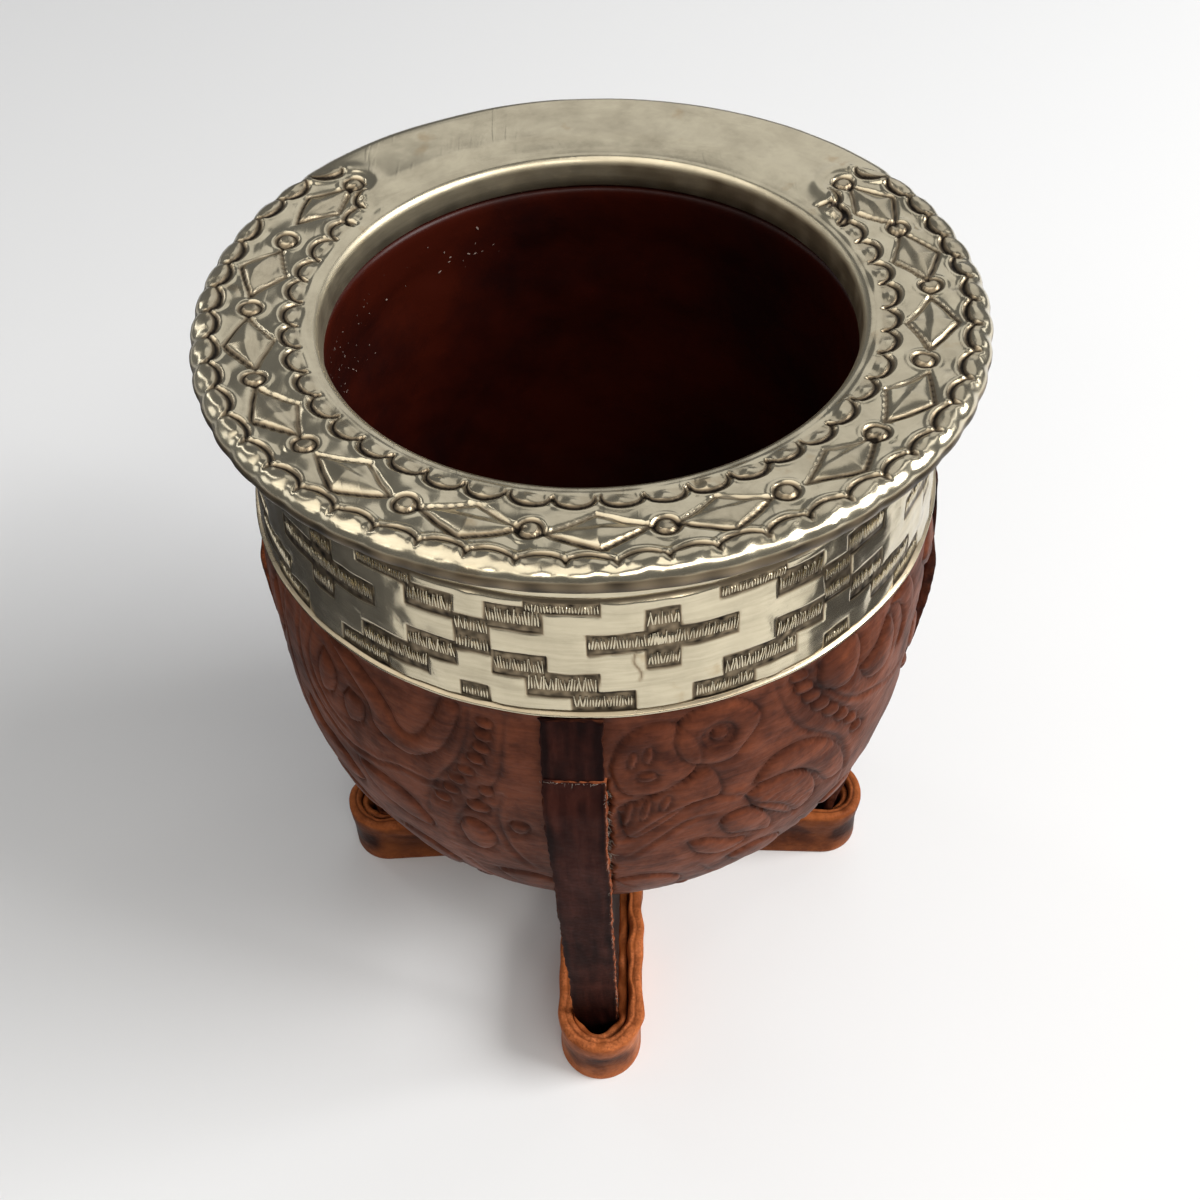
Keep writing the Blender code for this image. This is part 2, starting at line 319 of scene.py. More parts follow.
@dataclass(frozen=True)
class Finish:
    """What every finish shares: its name and how its nodes start."""

    name: str

    def start(self, values: dict[str, Any]) -> tuple[bpy.types.Material, bpy.types.NodeTree, bpy.types.Node]:
        """New material with its Principled node set.

        Args:
            values: Constant inputs of the Principled node.

        Returns:
            The material, its tree and the Principled node.
        """
        material = bpy.data.materials.new(self.name)
        material.use_nodes = True
        tree = material.node_tree
        shader = tree.nodes["Principled BSDF"]
        for label, value in values.items():
            shader.inputs[label].default_value = (*value, 1.0) if isinstance(value, tuple) else value
        return material, tree, shader

    def bump(self, tree: bpy.types.NodeTree, shader: bpy.types.Node, height: Any, depth: float,
             strength: float) -> None:
        """Drive the shader's normal from a height, with its depth in mm."""
        node = add_node(tree, "ShaderNodeBump", {"Height": height, "Distance": depth * MM, "Strength": strength})
        tree.links.new(node.outputs[0], shader.inputs["Normal"])


@dataclass(frozen=True)
class Matt(Finish):
    """One plain colour, for the floor and the cards of the studio."""

    colour: Colour
    roughness: float

    def make(self) -> bpy.types.Material:
        """Build the material."""
        return self.start({"Base Color": self.colour, "Roughness": self.roughness})[0]


@dataclass(frozen=True)
class NickelSilver(Finish):
    """Warm white metal, polished on the high places, with a brown film and dark soil in the chased grooves; the same
    colours are painted under the lip, at the waist and round the foot of the throat as painted shade.
    """

    bright: Colour = (0.68, 0.605, 0.44)
    tarnish: Colour = (0.34, 0.29, 0.20)
    film_and_shade: Colour = (0.23, 0.155, 0.085)
    dark: Colour = (0.016, 0.012, 0.009)
    stain: Colour = (0.42, 0.27, 0.12)
    stain_share: float = 0.35
    polish: float = 0.16

    def make(self, wear: bpy.types.NodeTree) -> bpy.types.Material:
        """Build the material from its soil-and-shade and satin marks and the wear group."""
        material, tree, shader = self.start({"Metallic": 1.0})
        soil_and_shade, where = mark_value(tree, Mark.SOIL_AND_SHADE.value), own_place(tree)
        worn = add_node(tree, "ShaderNodeGroup", {"Blotch Scale": 260.0, "Scratch Scale": 900.0},
                        node_tree=wear).outputs
        across = add_node(tree, "ShaderNodeMapping", {"Vector": where, "Scale": (0.4, 0.4, 5.0)}).outputs[0]
        rubbed = noise(tree, across, 240.0, Detail=5.0, Roughness=0.65, Distortion=0.5)
        dull = maths(tree, "ADD", maths(tree, "MULTIPLY", worn["Blotch"], 0.22),
                     maths(tree, "MULTIPLY", spread(tree, rubbed, 0.42, 0.66), 0.34))
        tarnished = blend_colour(tree, dull, self.bright, self.tarnish)
        spots = spread(tree, noise(tree, where, 210.0, Detail=4.0), 0.64, 0.72)
        stained = blend_colour(tree, maths(tree, "MULTIPLY", spots, self.stain_share), tarnished, self.stain)
        # The soil mark holds real soil in the chased grooves and painted shade under the lip, at the waist and in the
        # throat; it turns the metal brown, then dark
        film_and_shade_colour = blend_colour(tree, spread(tree, soil_and_shade, 0.0, 0.5, 0.0, 0.75), stained, self.film_and_shade)
        soiled_and_shaded = blend_colour(tree, spread(tree, soil_and_shade, 0.3, 0.95), film_and_shade_colour, self.dark)
        tree.links.new(soiled_and_shaded, shader.inputs["Base Color"])
        rough = maths(tree, "ADD", maths(tree, "MULTIPLY", soil_and_shade, 0.32),
                      spread(tree, worn["Blotch"], 0.0, 1.0, self.polish, self.polish + 0.09))
        rough = maths(tree, "ADD", rough, maths(tree, "MULTIPLY", mark_value(tree, Mark.SATIN.value), 0.26))
        tree.links.new(rough, shader.inputs["Roughness"])
        height = maths(tree, "ADD", worn["Scratch"], maths(tree, "MULTIPLY", rubbed, 1.2))
        self.bump(tree, shader, height, 0.014, 0.4)
        return material


@dataclass(frozen=True)
class GourdWall(Finish):
    """Cured gourd: deep red brown, a little glossy, with darker blotches."""

    light: Colour = (0.040, 0.0054, 0.0024)
    deep: Colour = (0.014, 0.0019, 0.0012)

    def make(self, wear: bpy.types.NodeTree) -> bpy.types.Material:
        """Build the material from the wear group."""
        material, tree, shader = self.start({"Specular IOR Level": 0.16})
        worn = add_node(tree, "ShaderNodeGroup", {"Blotch Scale": 70.0, "Scratch Scale": 420.0}, node_tree=wear).outputs
        tree.links.new(blend_colour(tree, worn["Blotch"], self.light, self.deep), shader.inputs["Base Color"])
        tree.links.new(spread(tree, worn["Blotch"], 0.0, 1.0, 0.34, 0.5), shader.inputs["Roughness"])
        height = maths(tree, "ADD", worn["Blotch"], maths(tree, "MULTIPLY", worn["Scratch"], 0.3))
        self.bump(tree, shader, height, 0.12, 0.5)
        return material


@dataclass(frozen=True)
class Leather(Finish):
    """Dyed leather with grain; its dye pools in the tooling and its cut edges are raw. The dye mark also carries
    painted shade in the open seam, the foot's hollows and the lower strap.
    """

    face: Colour = (0.052, 0.0138, 0.0068)
    deep: Colour = (0.012, 0.0036, 0.0026)
    rubbed: Colour = (0.165, 0.046, 0.0200)
    raw: Colour = (0.200, 0.060, 0.026)
    grain_scale: float = 1400.0
    grain_depth: float = 0.05
    gloss: float = 0.46
    shine: float = 0.07
    level: float = 0.30
    upright: float = 1.5

    def make(self, grain: bpy.types.NodeTree) -> bpy.types.Material:
        """Build the material from the grain group, the dye mark and the raw mark."""
        material, tree, shader = self.start({"Specular IOR Level": self.shine})
        hide = add_node(tree, "ShaderNodeGroup", {"Scale": self.grain_scale, "Level": self.level,
                                                  "Upright": self.upright}, node_tree=grain).outputs
        shade = maths(tree, "ADD", maths(tree, "MULTIPLY", spread(tree, hide["Shade"], 0.16, 0.34), 0.62),
                      maths(tree, "MULTIPLY", spread(tree, hide["Streak"], 0.38, 0.64), 0.38))
        # The dye mark pools dye in the tooling and also paints shade into the open seam, the foot's hollows and the
        # lower strap
        pooled_dye_and_shade = maths(tree, "ADD", mark_value(tree, Mark.DYE_AND_SHADE.value),
                       spread(tree, hide["Shade"], 0.08, 0.28, 0.17, 0.0), clamp=True)
        dyed_and_shaded = blend_colour(tree, pooled_dye_and_shade, blend_colour(tree, shade, self.face, self.rubbed), self.deep)
        fibres = noise(tree, own_place(tree), 2600.0, Detail=3.0)
        bare = blend_colour(tree, spread(tree, fibres, 0.35, 0.7), self.raw, tuple(0.45 * part for part in self.raw))
        raw = mark_value(tree, Mark.RAW.value)
        tree.links.new(blend_colour(tree, raw, dyed_and_shaded, bare), shader.inputs["Base Color"])
        rough = maths(tree, "ADD", spread(tree, shade, 0.0, 1.0, self.gloss + 0.06, self.gloss - 0.04),
                      maths(tree, "MULTIPLY", raw, 0.35))
        tree.links.new(rough, shader.inputs["Roughness"])
        nap = maths(tree, "MULTIPLY", fibres, maths(tree, "MULTIPLY", raw, 3.0))
        streak = maths(tree, "MULTIPLY", hide["Streak"], 1.6)
        height = maths(tree, "ADD", maths(tree, "ADD", hide["Height"], nap), streak)
        self.bump(tree, shader, height, self.grain_depth, 0.7)
        return material


@dataclass(frozen=True)
class Lint(Finish):
    """Loose fibres and dry flecks."""

    colour: Colour = (0.45, 0.38, 0.32)

    def make(self) -> bpy.types.Material:
        """Build the material with a little change of tone."""
        material, tree, shader = self.start({"Roughness": 0.85, "Specular IOR Level": 0.2})
        tone = noise(tree, own_place(tree), 800.0)
        tree.links.new(blend_colour(tree, tone, self.colour, tuple(0.4 * part for part in self.colour)),
                       shader.inputs["Base Color"])
        return material


@dataclass(frozen=True)
class Finishes:
    """Every material of the cup, made once."""

    metal: bpy.types.Material
    gourd: bpy.types.Material
    cover: bpy.types.Material
    strap: bpy.types.Material
    foot: bpy.types.Material
    lint: bpy.types.Material
    fleck: bpy.types.Material

    @classmethod
    def make(cls) -> Finishes:
        """Build the shared groups and then each material."""
        grain, wear = grain_group(), wear_group()
        return cls(
            metal=NickelSilver("chased_nickel_silver").make(wear),
            gourd=GourdWall("cured_gourd").make(wear),
            cover=Leather("tooled_cover").make(grain),
            strap=Leather("strap_face", face=(0.022, 0.0056, 0.0042), deep=(0.009, 0.0026, 0.0022),
                          rubbed=(0.058, 0.0160, 0.0105), raw=(0.30, 0.085, 0.034), gloss=0.52, shine=0.03, level=1.7,
                          upright=0.22).make(grain),
            foot=Leather("foot_strip", face=(0.170, 0.040, 0.0105), deep=(0.026, 0.0062, 0.0026),
                         rubbed=(0.470, 0.135, 0.036), raw=(0.520, 0.155, 0.052), gloss=0.4, shine=0.05, level=0.5,
                         upright=0.9).make(grain),
            lint=Lint("loose_fibres").make(),
            fleck=Lint("dry_flecks", (0.30, 0.22, 0.19)).make(),
        )


def dress(piece: bpy.types.Object, finish: bpy.types.Material, slot: str, *nodes: str) -> None:
    """Give a piece its finish, put it on the cup's body and hide the CAD nodes that it replaces.

    Args:
        piece: The finished piece.
        finish: Its material.
        slot: Not used.
        *nodes: CAD nodes that it replaces.
    """
    piece.data.materials.clear()
    piece.data.materials.append(finish)
    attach(piece, BODY)
    if nodes:
        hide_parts(*nodes)
    LOG.info("%s: %d faces", piece.name, len(piece.data.polygons))


# Repeating work with Geometry Nodes

def open_tree(name: str, inputs: dict[str, float]) -> tuple[Any, Any, Any]:
    """Geometry tree with named inputs for its sizes, and with a seed and a material.

    Args:
        name: The tree's name.
        inputs: Number inputs and their usual values.

    Returns:
        The tree, its input node and its output node.
    """
    tree = bpy.data.node_groups.new(name, "GeometryNodeTree")
    tree.interface.new_socket("Geometry", in_out="INPUT", socket_type="NodeSocketGeometry")
    for label, usual in inputs.items():
        tree.interface.new_socket(label, in_out="INPUT", socket_type="NodeSocketFloat").default_value = usual
    tree.interface.new_socket("Seed", in_out="INPUT", socket_type="NodeSocketInt")
    tree.interface.new_socket("Material", in_out="INPUT", socket_type="NodeSocketMaterial")
    tree.interface.new_socket("Geometry", in_out="OUTPUT", socket_type="NodeSocketGeometry")
    return tree, tree.nodes.new("NodeGroupInput"), tree.nodes.new("NodeGroupOutput")


def close_tree(tree: Any, given: Any, result: Any, points: Any, shape: Any, turn: Any,
               size: tuple[Any, Any, Any]) -> None:
    """Put the shape on the points, make it real and give it its material."""
    scale = add_node(tree, "ShaderNodeCombineXYZ", dict(enumerate(size))).outputs[0]
    placed = add_node(tree, "GeometryNodeInstanceOnPoints", {"Points": points, "Instance": shape, "Rotation": turn,
                                                             "Scale": scale})
    real = add_node(tree, "GeometryNodeRealizeInstances", {0: placed.outputs[0]})
    dressed = add_node(tree, "GeometryNodeSetMaterial", {"Geometry": real.outputs[0],
                                                         "Material": given.outputs["Material"]})
    tree.links.new(dressed.outputs[0], result.inputs[0])


def chance(tree: Any, given: Any, low: Any, high: Any, shift: int) -> Any:
    """Random number for each point, fixed by the tree's seed."""
    seed = maths(tree, "ADD", given.outputs["Seed"], float(shift))
    return add_node(tree, "FunctionNodeRandomValue", {2: low, 3: high, "Seed": seed}, data_type="FLOAT").outputs[1]


def swung_out(tree: Any, *angles: Any) -> Any:
    """Rotation whose Z leaves the cup's axis and whose Y points up, then turned by three angles of its own."""
    spot = add_node(tree, "GeometryNodeInputPosition").outputs[0]
    level = add_node(tree, "ShaderNodeVectorMath", {0: spot, 1: (1.0, 1.0, 0.0)}, operation="MULTIPLY").outputs[0]
    out = add_node(tree, "FunctionNodeAlignRotationToVector", {"Vector": level}, axis="Z").outputs[0]
    upright = add_node(tree, "FunctionNodeAlignRotationToVector", {"Rotation": out, "Vector": (0.0, 0.0, 1.0)},
                       axis="Y", pivot_axis="Z").outputs[0]
    swing = add_node(tree, "ShaderNodeCombineXYZ", dict(enumerate(angles))).outputs[0]
    return add_node(tree, "FunctionNodeRotateRotation", {0: upright, 1: swing}, rotation_space="LOCAL").outputs[0]


def points_along(tree: Any, given: Any) -> Any:
    """Output with a point at every pitch along the given edges."""
    rows = add_node(tree, "GeometryNodeMeshToCurve", {0: given.outputs[0]}).outputs[0]
    return add_node(tree, "GeometryNodeCurveToPoints", {"Curve": rows, "Length": given.outputs["Pitch"]},
                    mode="LENGTH").outputs[0]


def spike(tree: Any, sides: int, tip: float) -> Any:
    """Output with a short cone, one unit tall and one unit in radius at its foot."""
    return add_node(tree, "GeometryNodeMeshCone", {"Vertices": sides, "Radius Top": tip, "Radius Bottom": 1.0,
                                                   "Depth": 1.0}).outputs["Mesh"]


def sliver_tree() -> Any:
    """Bright slivers between the cuts of the hatching, set side by side along each row."""
    tree, given, result = open_tree("hatch_slivers", {"Pitch": 0.45 * MM, "Width": 0.2 * MM, "Rise": 0.12 * MM,
                                                      "Lean": 0.2})
    lean = chance(tree, given, maths(tree, "MULTIPLY", given.outputs["Lean"], -1.0), given.outputs["Lean"], 1)
    reach = add_node(tree, "GeometryNodeInputNamedAttribute", {"Name": "reach"}, data_type="FLOAT").outputs[0]
    length = maths(tree, "MULTIPLY", reach, chance(tree, given, 0.55, 1.02, 2))
    width = maths(tree, "MULTIPLY", given.outputs["Width"], chance(tree, given, 0.5, 1.1, 3))
    close_tree(tree, given, result, points_along(tree, given), spike(tree, 6, 0.75), swung_out(tree, 0.0, 0.0, lean),
               (width, length, given.outputs["Rise"]))
    return tree


def fibre_tree() -> Any:
    """Short loose fibres that stand off a torn or cut edge."""
    tree, given, result = open_tree("loose_fibres", {"Pitch": 0.3 * MM, "Length": 0.9 * MM, "Thickness": 0.03 * MM})
    turn = swung_out(tree, *(chance(tree, given, -most, most, shift) for shift, most in ((1, 1.3), (2, 1.3), (3, 3.1))))
    length = maths(tree, "MULTIPLY", given.outputs["Length"], chance(tree, given, 0.3, 1.1, 4))
    thick = given.outputs["Thickness"]
    close_tree(tree, given, result, points_along(tree, given), spike(tree, 4, 0.2), turn, (thick, thick, length))
    return tree


def fleck_tree() -> Any:
    """Dry flecks scattered over a patch of wall."""
    tree, given, result = open_tree("dry_flecks", {"Density": 400000.0, "Size": 0.12 * MM})
    points = add_node(tree, "GeometryNodeDistributePointsOnFaces", {
        "Mesh": given.outputs[0], "Density": given.outputs["Density"], "Seed": given.outputs["Seed"]}).outputs["Points"]
    shape = add_node(tree, "GeometryNodeMeshIcoSphere", {"Radius": 1.0, "Subdivisions": 1}).outputs["Mesh"]
    turn = swung_out(tree, 0.0, 0.0, chance(tree, given, -3.1, 3.1, 1))
    side = maths(tree, "MULTIPLY", given.outputs["Size"], chance(tree, given, 0.15, 1.0, 2))
    long = maths(tree, "MULTIPLY", side, chance(tree, given, 1.0, 3.0, 3))
    close_tree(tree, given, result, points, shape, turn, (side, long, maths(tree, "MULTIPLY", side, 0.4)))
    return tree


def grow(piece: bpy.types.Object, tree: Any, settings: dict[str, Any]) -> None:
    """Run a geometry tree on a piece and keep the result as its plain mesh.

    Args:
        piece: Object whose mesh the tree starts from.
        tree: The geometry tree.
        settings: Value for each named input.
    """
    modifier = piece.modifiers.new("grow", "NODES")
    modifier.node_group = tree
    sockets = {item.name: item.identifier for item in tree.interface.items_tree
               if item.item_type == "SOCKET" and item.in_out == "INPUT"}
    for label, value in settings.items():
        modifier[sockets[label]] = value
    graph = bpy.context.evaluated_depsgraph_get()
    grown = bpy.data.meshes.new_from_object(piece.evaluated_get(graph), preserve_all_data_layers=True, depsgraph=graph)
    piece.modifiers.remove(modifier)
    seed_mesh, piece.data = piece.data, grown
    bpy.data.meshes.remove(seed_mesh)
    grown.name = piece.name


def paths_object(name: str, lines: list[np.ndarray], reach: list[float]) -> bpy.types.Object:
    """Object of open chains of edges for a tree to follow.

    Args:
        name: Its name.
        lines: Points of each chain, mm.
        reach: Half length of what stands along each chain, mm.

    Returns:
        The object.
    """
    mesh = bpy.data.meshes.new(name)
    starts = np.cumsum([0] + [len(line) for line in lines])
    edges = [(start + step, start + step + 1) for start, line in zip(starts, lines) for step in range(len(line) - 1)]
    mesh.from_pydata((np.concatenate(lines) * MM).tolist(), edges, [])
    layer = mesh.attributes.new("reach", "FLOAT", "POINT")
    layer.data.foreach_set("value", np.repeat(np.array(reach) * MM, [len(line) for line in lines]).astype(np.float32))
    piece = bpy.data.objects.new(name, mesh)
    bpy.context.scene.collection.objects.link(piece)
    return piece


# The ferrule

@dataclass(frozen=True)
class Scallop:
    """One curved punch mark: an arch with its crown at a place, pointing out or in."""

    azimuth: float
    radius: float
    width: float
    height: float
    lean: float


@dataclass(frozen=True)
class Tile:
    """One hatched rectangle of the band, in degrees and in mm below the lip."""

    start: float
    end: float
    top: float
    bottom: float


@dataclass
class Ferrule:
    """The metal mouth: throat, chased flange, rolled lip, ring, stepped band and bead."""

    rim_height: float = 112.8
    lip_centre: float = 43.55
    lip_radius: float = 1.4
    lip_bulge: float = 1.93
    lip_drop: float = 1.78
    mouth_sink: float = 0.7
    mouth_edge: float = 32.4
    throat_radius: float = 31.25
    throat_depth: float = 4.6
    flange_inner: float = 0.3
    flange_dish: float = 1.1
    ornament_middle: float = 38.8
    ornament_start: float = 140.4
    ornament_end: float = 393.6
    diamonds: tuple[float, ...] = (148.9, 171.5, 192.1, 211.5, 231.2, 251.7, 270.2, 288.6, 309.7, 328.1, 348.5,
                                   367.6, 384.8)
    circles: tuple[float, ...] = (140.4, 161.6, 182.5, 201.9, 220.8, 241.7, 260.6, 279.8, 298.4, 317.9, 338.1,
                                  358.4, 376.4, 393.6)
    crosses: tuple[float, ...] = (224.1, 279.1, 336.5, 398.4, 460.3, 522.2)
    band_radius: float = 41.7
    columns: int = 1150
    plain_columns: int = 90

    def band_line(self, depth: Any) -> Any:
        """Radius of the plain band at a depth under the rim, mm; it widens downwards."""
        return 40.75 + 2.0 * (depth - 8.0) / 14.7

    def azimuths(self) -> np.ndarray:
        """Column angles, close together over the ornament and wide apart over the plain back."""
        chased = np.linspace(130.0, 404.0, self.columns - self.plain_columns, endpoint=False)
        return np.concatenate([chased, np.linspace(404.0, 490.0, self.plain_columns, endpoint=False)])

    def scallops(self) -> list[Scallop]:
        """Both rows of scallops and the few that turn round the ends."""
        outer = np.interp(np.arange(39), [0, 19, 31, 38], [148.8, 269.4, 344.6, 386.2])
        inner = np.interp(np.arange(32), [0, 16, 25, 31], [153.5, 274.0, 342.3, 387.5])
        rng = np.random.default_rng(12)
        marks = [Scallop(a, 42.25 + rng.normal(0, 0.07), 4.9, 1.8, 180.0 + rng.normal(0, 3)) for a in outer]
        marks += [Scallop(a, 35.3 + rng.normal(0, 0.07), 4.6, 1.9, rng.normal(0, 3)) for a in inner]
        for end, side in ((self.ornament_start, 1.0), (self.ornament_end, -1.0)):
            marks += [Scallop(end + side * 1.9, 41.5, 4.4, 1.4, 180.0 + side * 24.0),
                      Scallop(end + side * 3.4, 36.5, 3.9, 1.4, -side * 38.0),
                      Scallop(end + side * 8.2, 35.4, 4.2, 1.6, -side * 14.0)]
        return marks

    def chase(self, azimuth: np.ndarray, radius: np.ndarray) -> tuple[np.ndarray, np.ndarray]:
        """Relief of the flange.

        Args:
            azimuth: Angle of each point, degrees.
            radius: Radius of each point, mm.

        Returns:
            Lift over the plain sheet in mm, and soil from 0 to 1.
        """
        def local(at: float, out: float, lean: float = 0.0) -> tuple[np.ndarray, np.ndarray]:
            along, across = np.radians(azimuth - at) * out, radius - out
            c, s = math.cos(math.radians(lean)), math.sin(math.radians(lean))
            return -(along * c + across * s), across * c - along * s

        rng = np.random.default_rng(4)
        lift, soil_and_shade = np.zeros((2, *np.broadcast(azimuth, radius).shape))
        # Ground of the ornament, a little sunk, with a rounded end
        middle = self.ornament_middle
        inside = np.minimum(azimuth - self.ornament_start, self.ornament_end - azimuth) * math.radians(1) * middle
        off = np.abs(radius - middle)
        half_width = 2.2 + 3.3 * ease(inside, 0.0, 6.5)
        edge = np.where(inside > 0, half_width - off, 2.2 - np.hypot(inside, off))
        lift += 0.16 * np.exp(-((edge + 0.9) / 0.9) ** 2) - 0.24 * ease(edge, -0.5, 0.7)
        for at in self.diamonds:
            u, v = local(at + rng.normal(0, 0.15), middle + rng.normal(0, 0.08), rng.normal(0, 2.5))
            long, short = 5.0 + rng.normal(0, 0.12), 2.7 + rng.normal(0, 0.1)
            level = 1.0 - np.abs(u) / long - np.abs(v) / short
            distance = level / math.hypot(1 / long, 1 / short)
            peak_u, peak_v = rng.normal(0, 0.5), rng.normal(0, 0.25)
            facet = np.clip(1.0 - np.abs(u - peak_u) / (long * 0.96) - np.abs(v - peak_v) / (short * 0.96), 0.0, 1.0)
            lift += rng.uniform(0.5, 0.75) * facet ** 0.85 * (0.75 + 0.25 * np.tanh(v))
            lift -= 0.12 * np.exp(-((u - peak_u) / 2.2) ** 2 - ((v + 0.9) / 0.5) ** 2) * (level > 0)
            ticks = 0.88 + 0.12 * np.sin(u * 5.0 + v * 4.0)
            lower = 0.75 + 0.25 * np.tanh(v * 1.5)
            lift -= 0.34 * notch(distance, 0.50) * ticks + 0.10 * np.exp(-(distance / 0.9) ** 2)
            soil_and_shade += 1.2 * notch(distance - 0.03, 0.46) * ticks * lower + 0.12 * (level > 0) * rng.uniform(0.2, 1.0)
        for at in self.circles:
            u, v = local(at, middle + rng.normal(0, 0.12))
            gap = np.hypot(u, v)
            lift -= 0.30 * notch(gap - 1.18, 0.42)
            lift += 0.22 * np.sqrt(np.clip(1 - (gap / 0.95) ** 2, 0, 1)) + 0.10 * np.exp(-((gap - 1.8) / 0.3) ** 2)
            soil_and_shade += 0.22 * (gap < 0.9)
            lift -= rng.uniform(0.12, 0.3) * np.exp(-((u - 0.4) ** 2 + (v - 2.6) ** 2) / 1.1)
            soil_and_shade += 1.1 * notch(gap - 1.16, 0.52)
        for mark in self.scallops():
            u, v = local(mark.azimuth, mark.radius, mark.lean)
            half = mark.width / 2
            rise = v + mark.height
            level = np.hypot(u / half, rise / mark.height) + 1e-6
            slope = np.hypot(u / half ** 2, rise / mark.height ** 2) / level + 1e-6
            distance = (level - 1) / slope
            upright = np.clip(rise / mark.height, 0, 1)
            arch = ease(rise, -0.25, 0.15)
            wide = 0.16 + 0.34 * upright
            lift += arch * (0.12 * np.exp(-((distance - 0.55) / 0.25) ** 2) - 0.30 * notch(distance + 0.08, wide))
            pillow = np.clip(1 - level ** 2, 0, 1) * arch
            lift += 0.16 * pillow
            dome = np.exp(-((u - 0.2) / 0.75) ** 2 - ((v + 1.15) / 0.5) ** 2)
            lift += 0.20 * dome * arch
            soil_and_shade += arch * (1.15 * notch(distance + 0.12, wide * 1.3) + 0.25 * (pillow > 0.02) * (1 - dome) * 0.6)
        return lift, np.clip(soil_and_shade, 0.0, 1.0)

    def flange_line(self, radius: float) -> float:
        """Height of the plain flange over the rim's datum at a radius, mm; it sinks towards the mouth."""
        sunk = self.mouth_sink * float(1 - ease(radius, self.mouth_edge - 1.5, self.mouth_edge + 4.2)) / 0.82
        slope = self.flange_dish / (self.lip_centre - self.mouth_edge)
        return self.flange_inner + slope * (radius - self.mouth_edge) - sunk

    def build_top(self) -> bpy.types.Object:
        """Throat, mouth edge, chased flange and rolled lip as one skin."""
        azimuth = self.azimuths()
        edge = self.mouth_edge - self.throat_radius
        breadth = self.lip_centre - self.mouth_edge
        throat = [(self.mouth_edge + 0.1, -self.throat_depth + 0.1), (self.throat_radius + 0.4, -self.throat_depth),
                  (self.throat_radius, -self.throat_depth + 0.35), (self.throat_radius, -2.9)]
        throat += arc((self.mouth_edge, self.flange_line(self.mouth_edge) - edge), edge, 180, 90, 6)
        flange = [(r, self.flange_line(r)) for r in np.linspace(self.mouth_edge, self.lip_centre, 58)[1:]]
        lip = [(self.lip_centre + self.lip_bulge * r, self.lip_radius - self.lip_drop * (1 - h))
               for r, h in arc((0.0, 0.0), 1.0, 90, -88, 14)[1:]] + [(42.4, -2.2), (40.75, -2.3)]
        profile = np.array(throat + flange + lip)
        radius, height = profile[:, :1] + 0 * azimuth, profile[:, 1:] + 0 * azimuth
        degrees = azimuth[None, :] + 0 * radius
        lift, soil_and_shade = self.chase(degrees, radius)
        rows = np.arange(len(profile))[:, None]
        last_flange, last = len(throat) + len(flange), len(profile)
        on_flange = ease(rows, len(throat) - 2, len(throat) + 5) * (1 - ease(rows, last_flange - 3, last_flange + 4))
        spots = round_places(degrees, radius, height)
        chased = ease(degrees, 139.0, 146.0) * (1 - ease(degrees, 389.0, 395.0))
        waves = (0.02 + 0.09 * chased) * ripple(spots, 9.0, 21) + 0.05 * chased * ripple(spots, 3.2, 22)
        waves = waves + 0.06 * ripple(spots, 30.0, 23)
        dish = -0.16 * np.sin(np.pi * np.clip((radius - self.mouth_edge) / breadth, 0, 1))
        height = height + on_flange * (lift + waves + dish)
        # The lip is beaten by hand: it sinks a little beside every scallop, and its underside is painted dark as
        # painted shade
        tips = (0.5 - 0.5 * np.cos(np.radians(degrees - 148.8) * (360 / 6.26))) ** 1.6
        outside = ease(rows, last_flange - 6, last_flange + 3) * (1 - ease(rows, last - 6, last - 2))
        radius = radius - outside * (0.05 + 0.05 * ripple(spots, 14.0, 5) ** 2 + 0.19 * tips * chased)
        height = height - outside * np.clip(0.05 + 0.05 * ripple(spots, 11.0, 6) + 0.17 * tips * chased, 0, 1)
        height = np.minimum(height, self.lip_radius)
        painted_shade = 0.82 * ease(rows, last - 12.2, last - 11.0) + 0.18 * ease(rows, last - 10, last - 8)
        # The foot of the throat is painted dark, most on its right side, as painted shade
        painted_shade = painted_shade + (0.32 + 0.28 * np.cos(np.radians(degrees - 10.0))) * (1 - ease(rows, 3, 8))
        soil_and_shade = soil_and_shade * on_flange + painted_shade * (0.8 + 0.2 * ripple(spots, 4.0, 9))
        places = round_places(degrees, radius, height + self.rim_height)
        satin = 1.0 - ease(rows, len(throat) - 5, len(throat) - 2) + 0 * degrees
        return skin("ferrule_flange", places, True, {Mark.SOIL_AND_SHADE.value: np.clip(soil_and_shade, 0, 1), Mark.SATIN.value: satin})

    def tiles(self) -> list[Tile]:
        """Hatched rectangles of the stepped crosses and of the stair pattern between them."""
        stair = ((-2.0, 1.9, 11.0, 16.0), (1.5, 7.7, 8.8, 11.9), (-7.8, -2.1, 8.8, 11.9), (5.7, 13.8, 7.8, 9.3),
                 (-14.6, -7.0, 7.8, 9.3), (2.0, 7.7, 15.0, 18.3), (-7.9, -2.1, 15.0, 18.3), (5.7, 13.6, 17.6, 20.8),
                 (-14.2, -5.4, 17.8, 20.8), (10.7, 17.2, 20.2, 22.7), (-17.4, -10.8, 20.2, 22.7),
                 (-1.6, 1.8, 20.8, 22.7))
        cross = ((-7.9, 8.2, 11.9, 14.6), (-1.7, 1.8, 9.1, 17.3))
        found = []
        rng = np.random.default_rng(31)
        ends = (*self.crosses[1:], self.crosses[0] + 360.0)
        for left, right in zip(self.crosses, ends):
            for middle, group, scale in (((left + right) / 2, stair, (right - left) / 40.9), (left, cross, 1.37)):
                for start, end, top, bottom in group:
                    a, b = rng.normal(0, 0.12, 2)
                    found.append(Tile(middle + (start + a) * scale, middle + (end + b) * scale, top + b,
                                      bottom + a * 0.5))
        return found

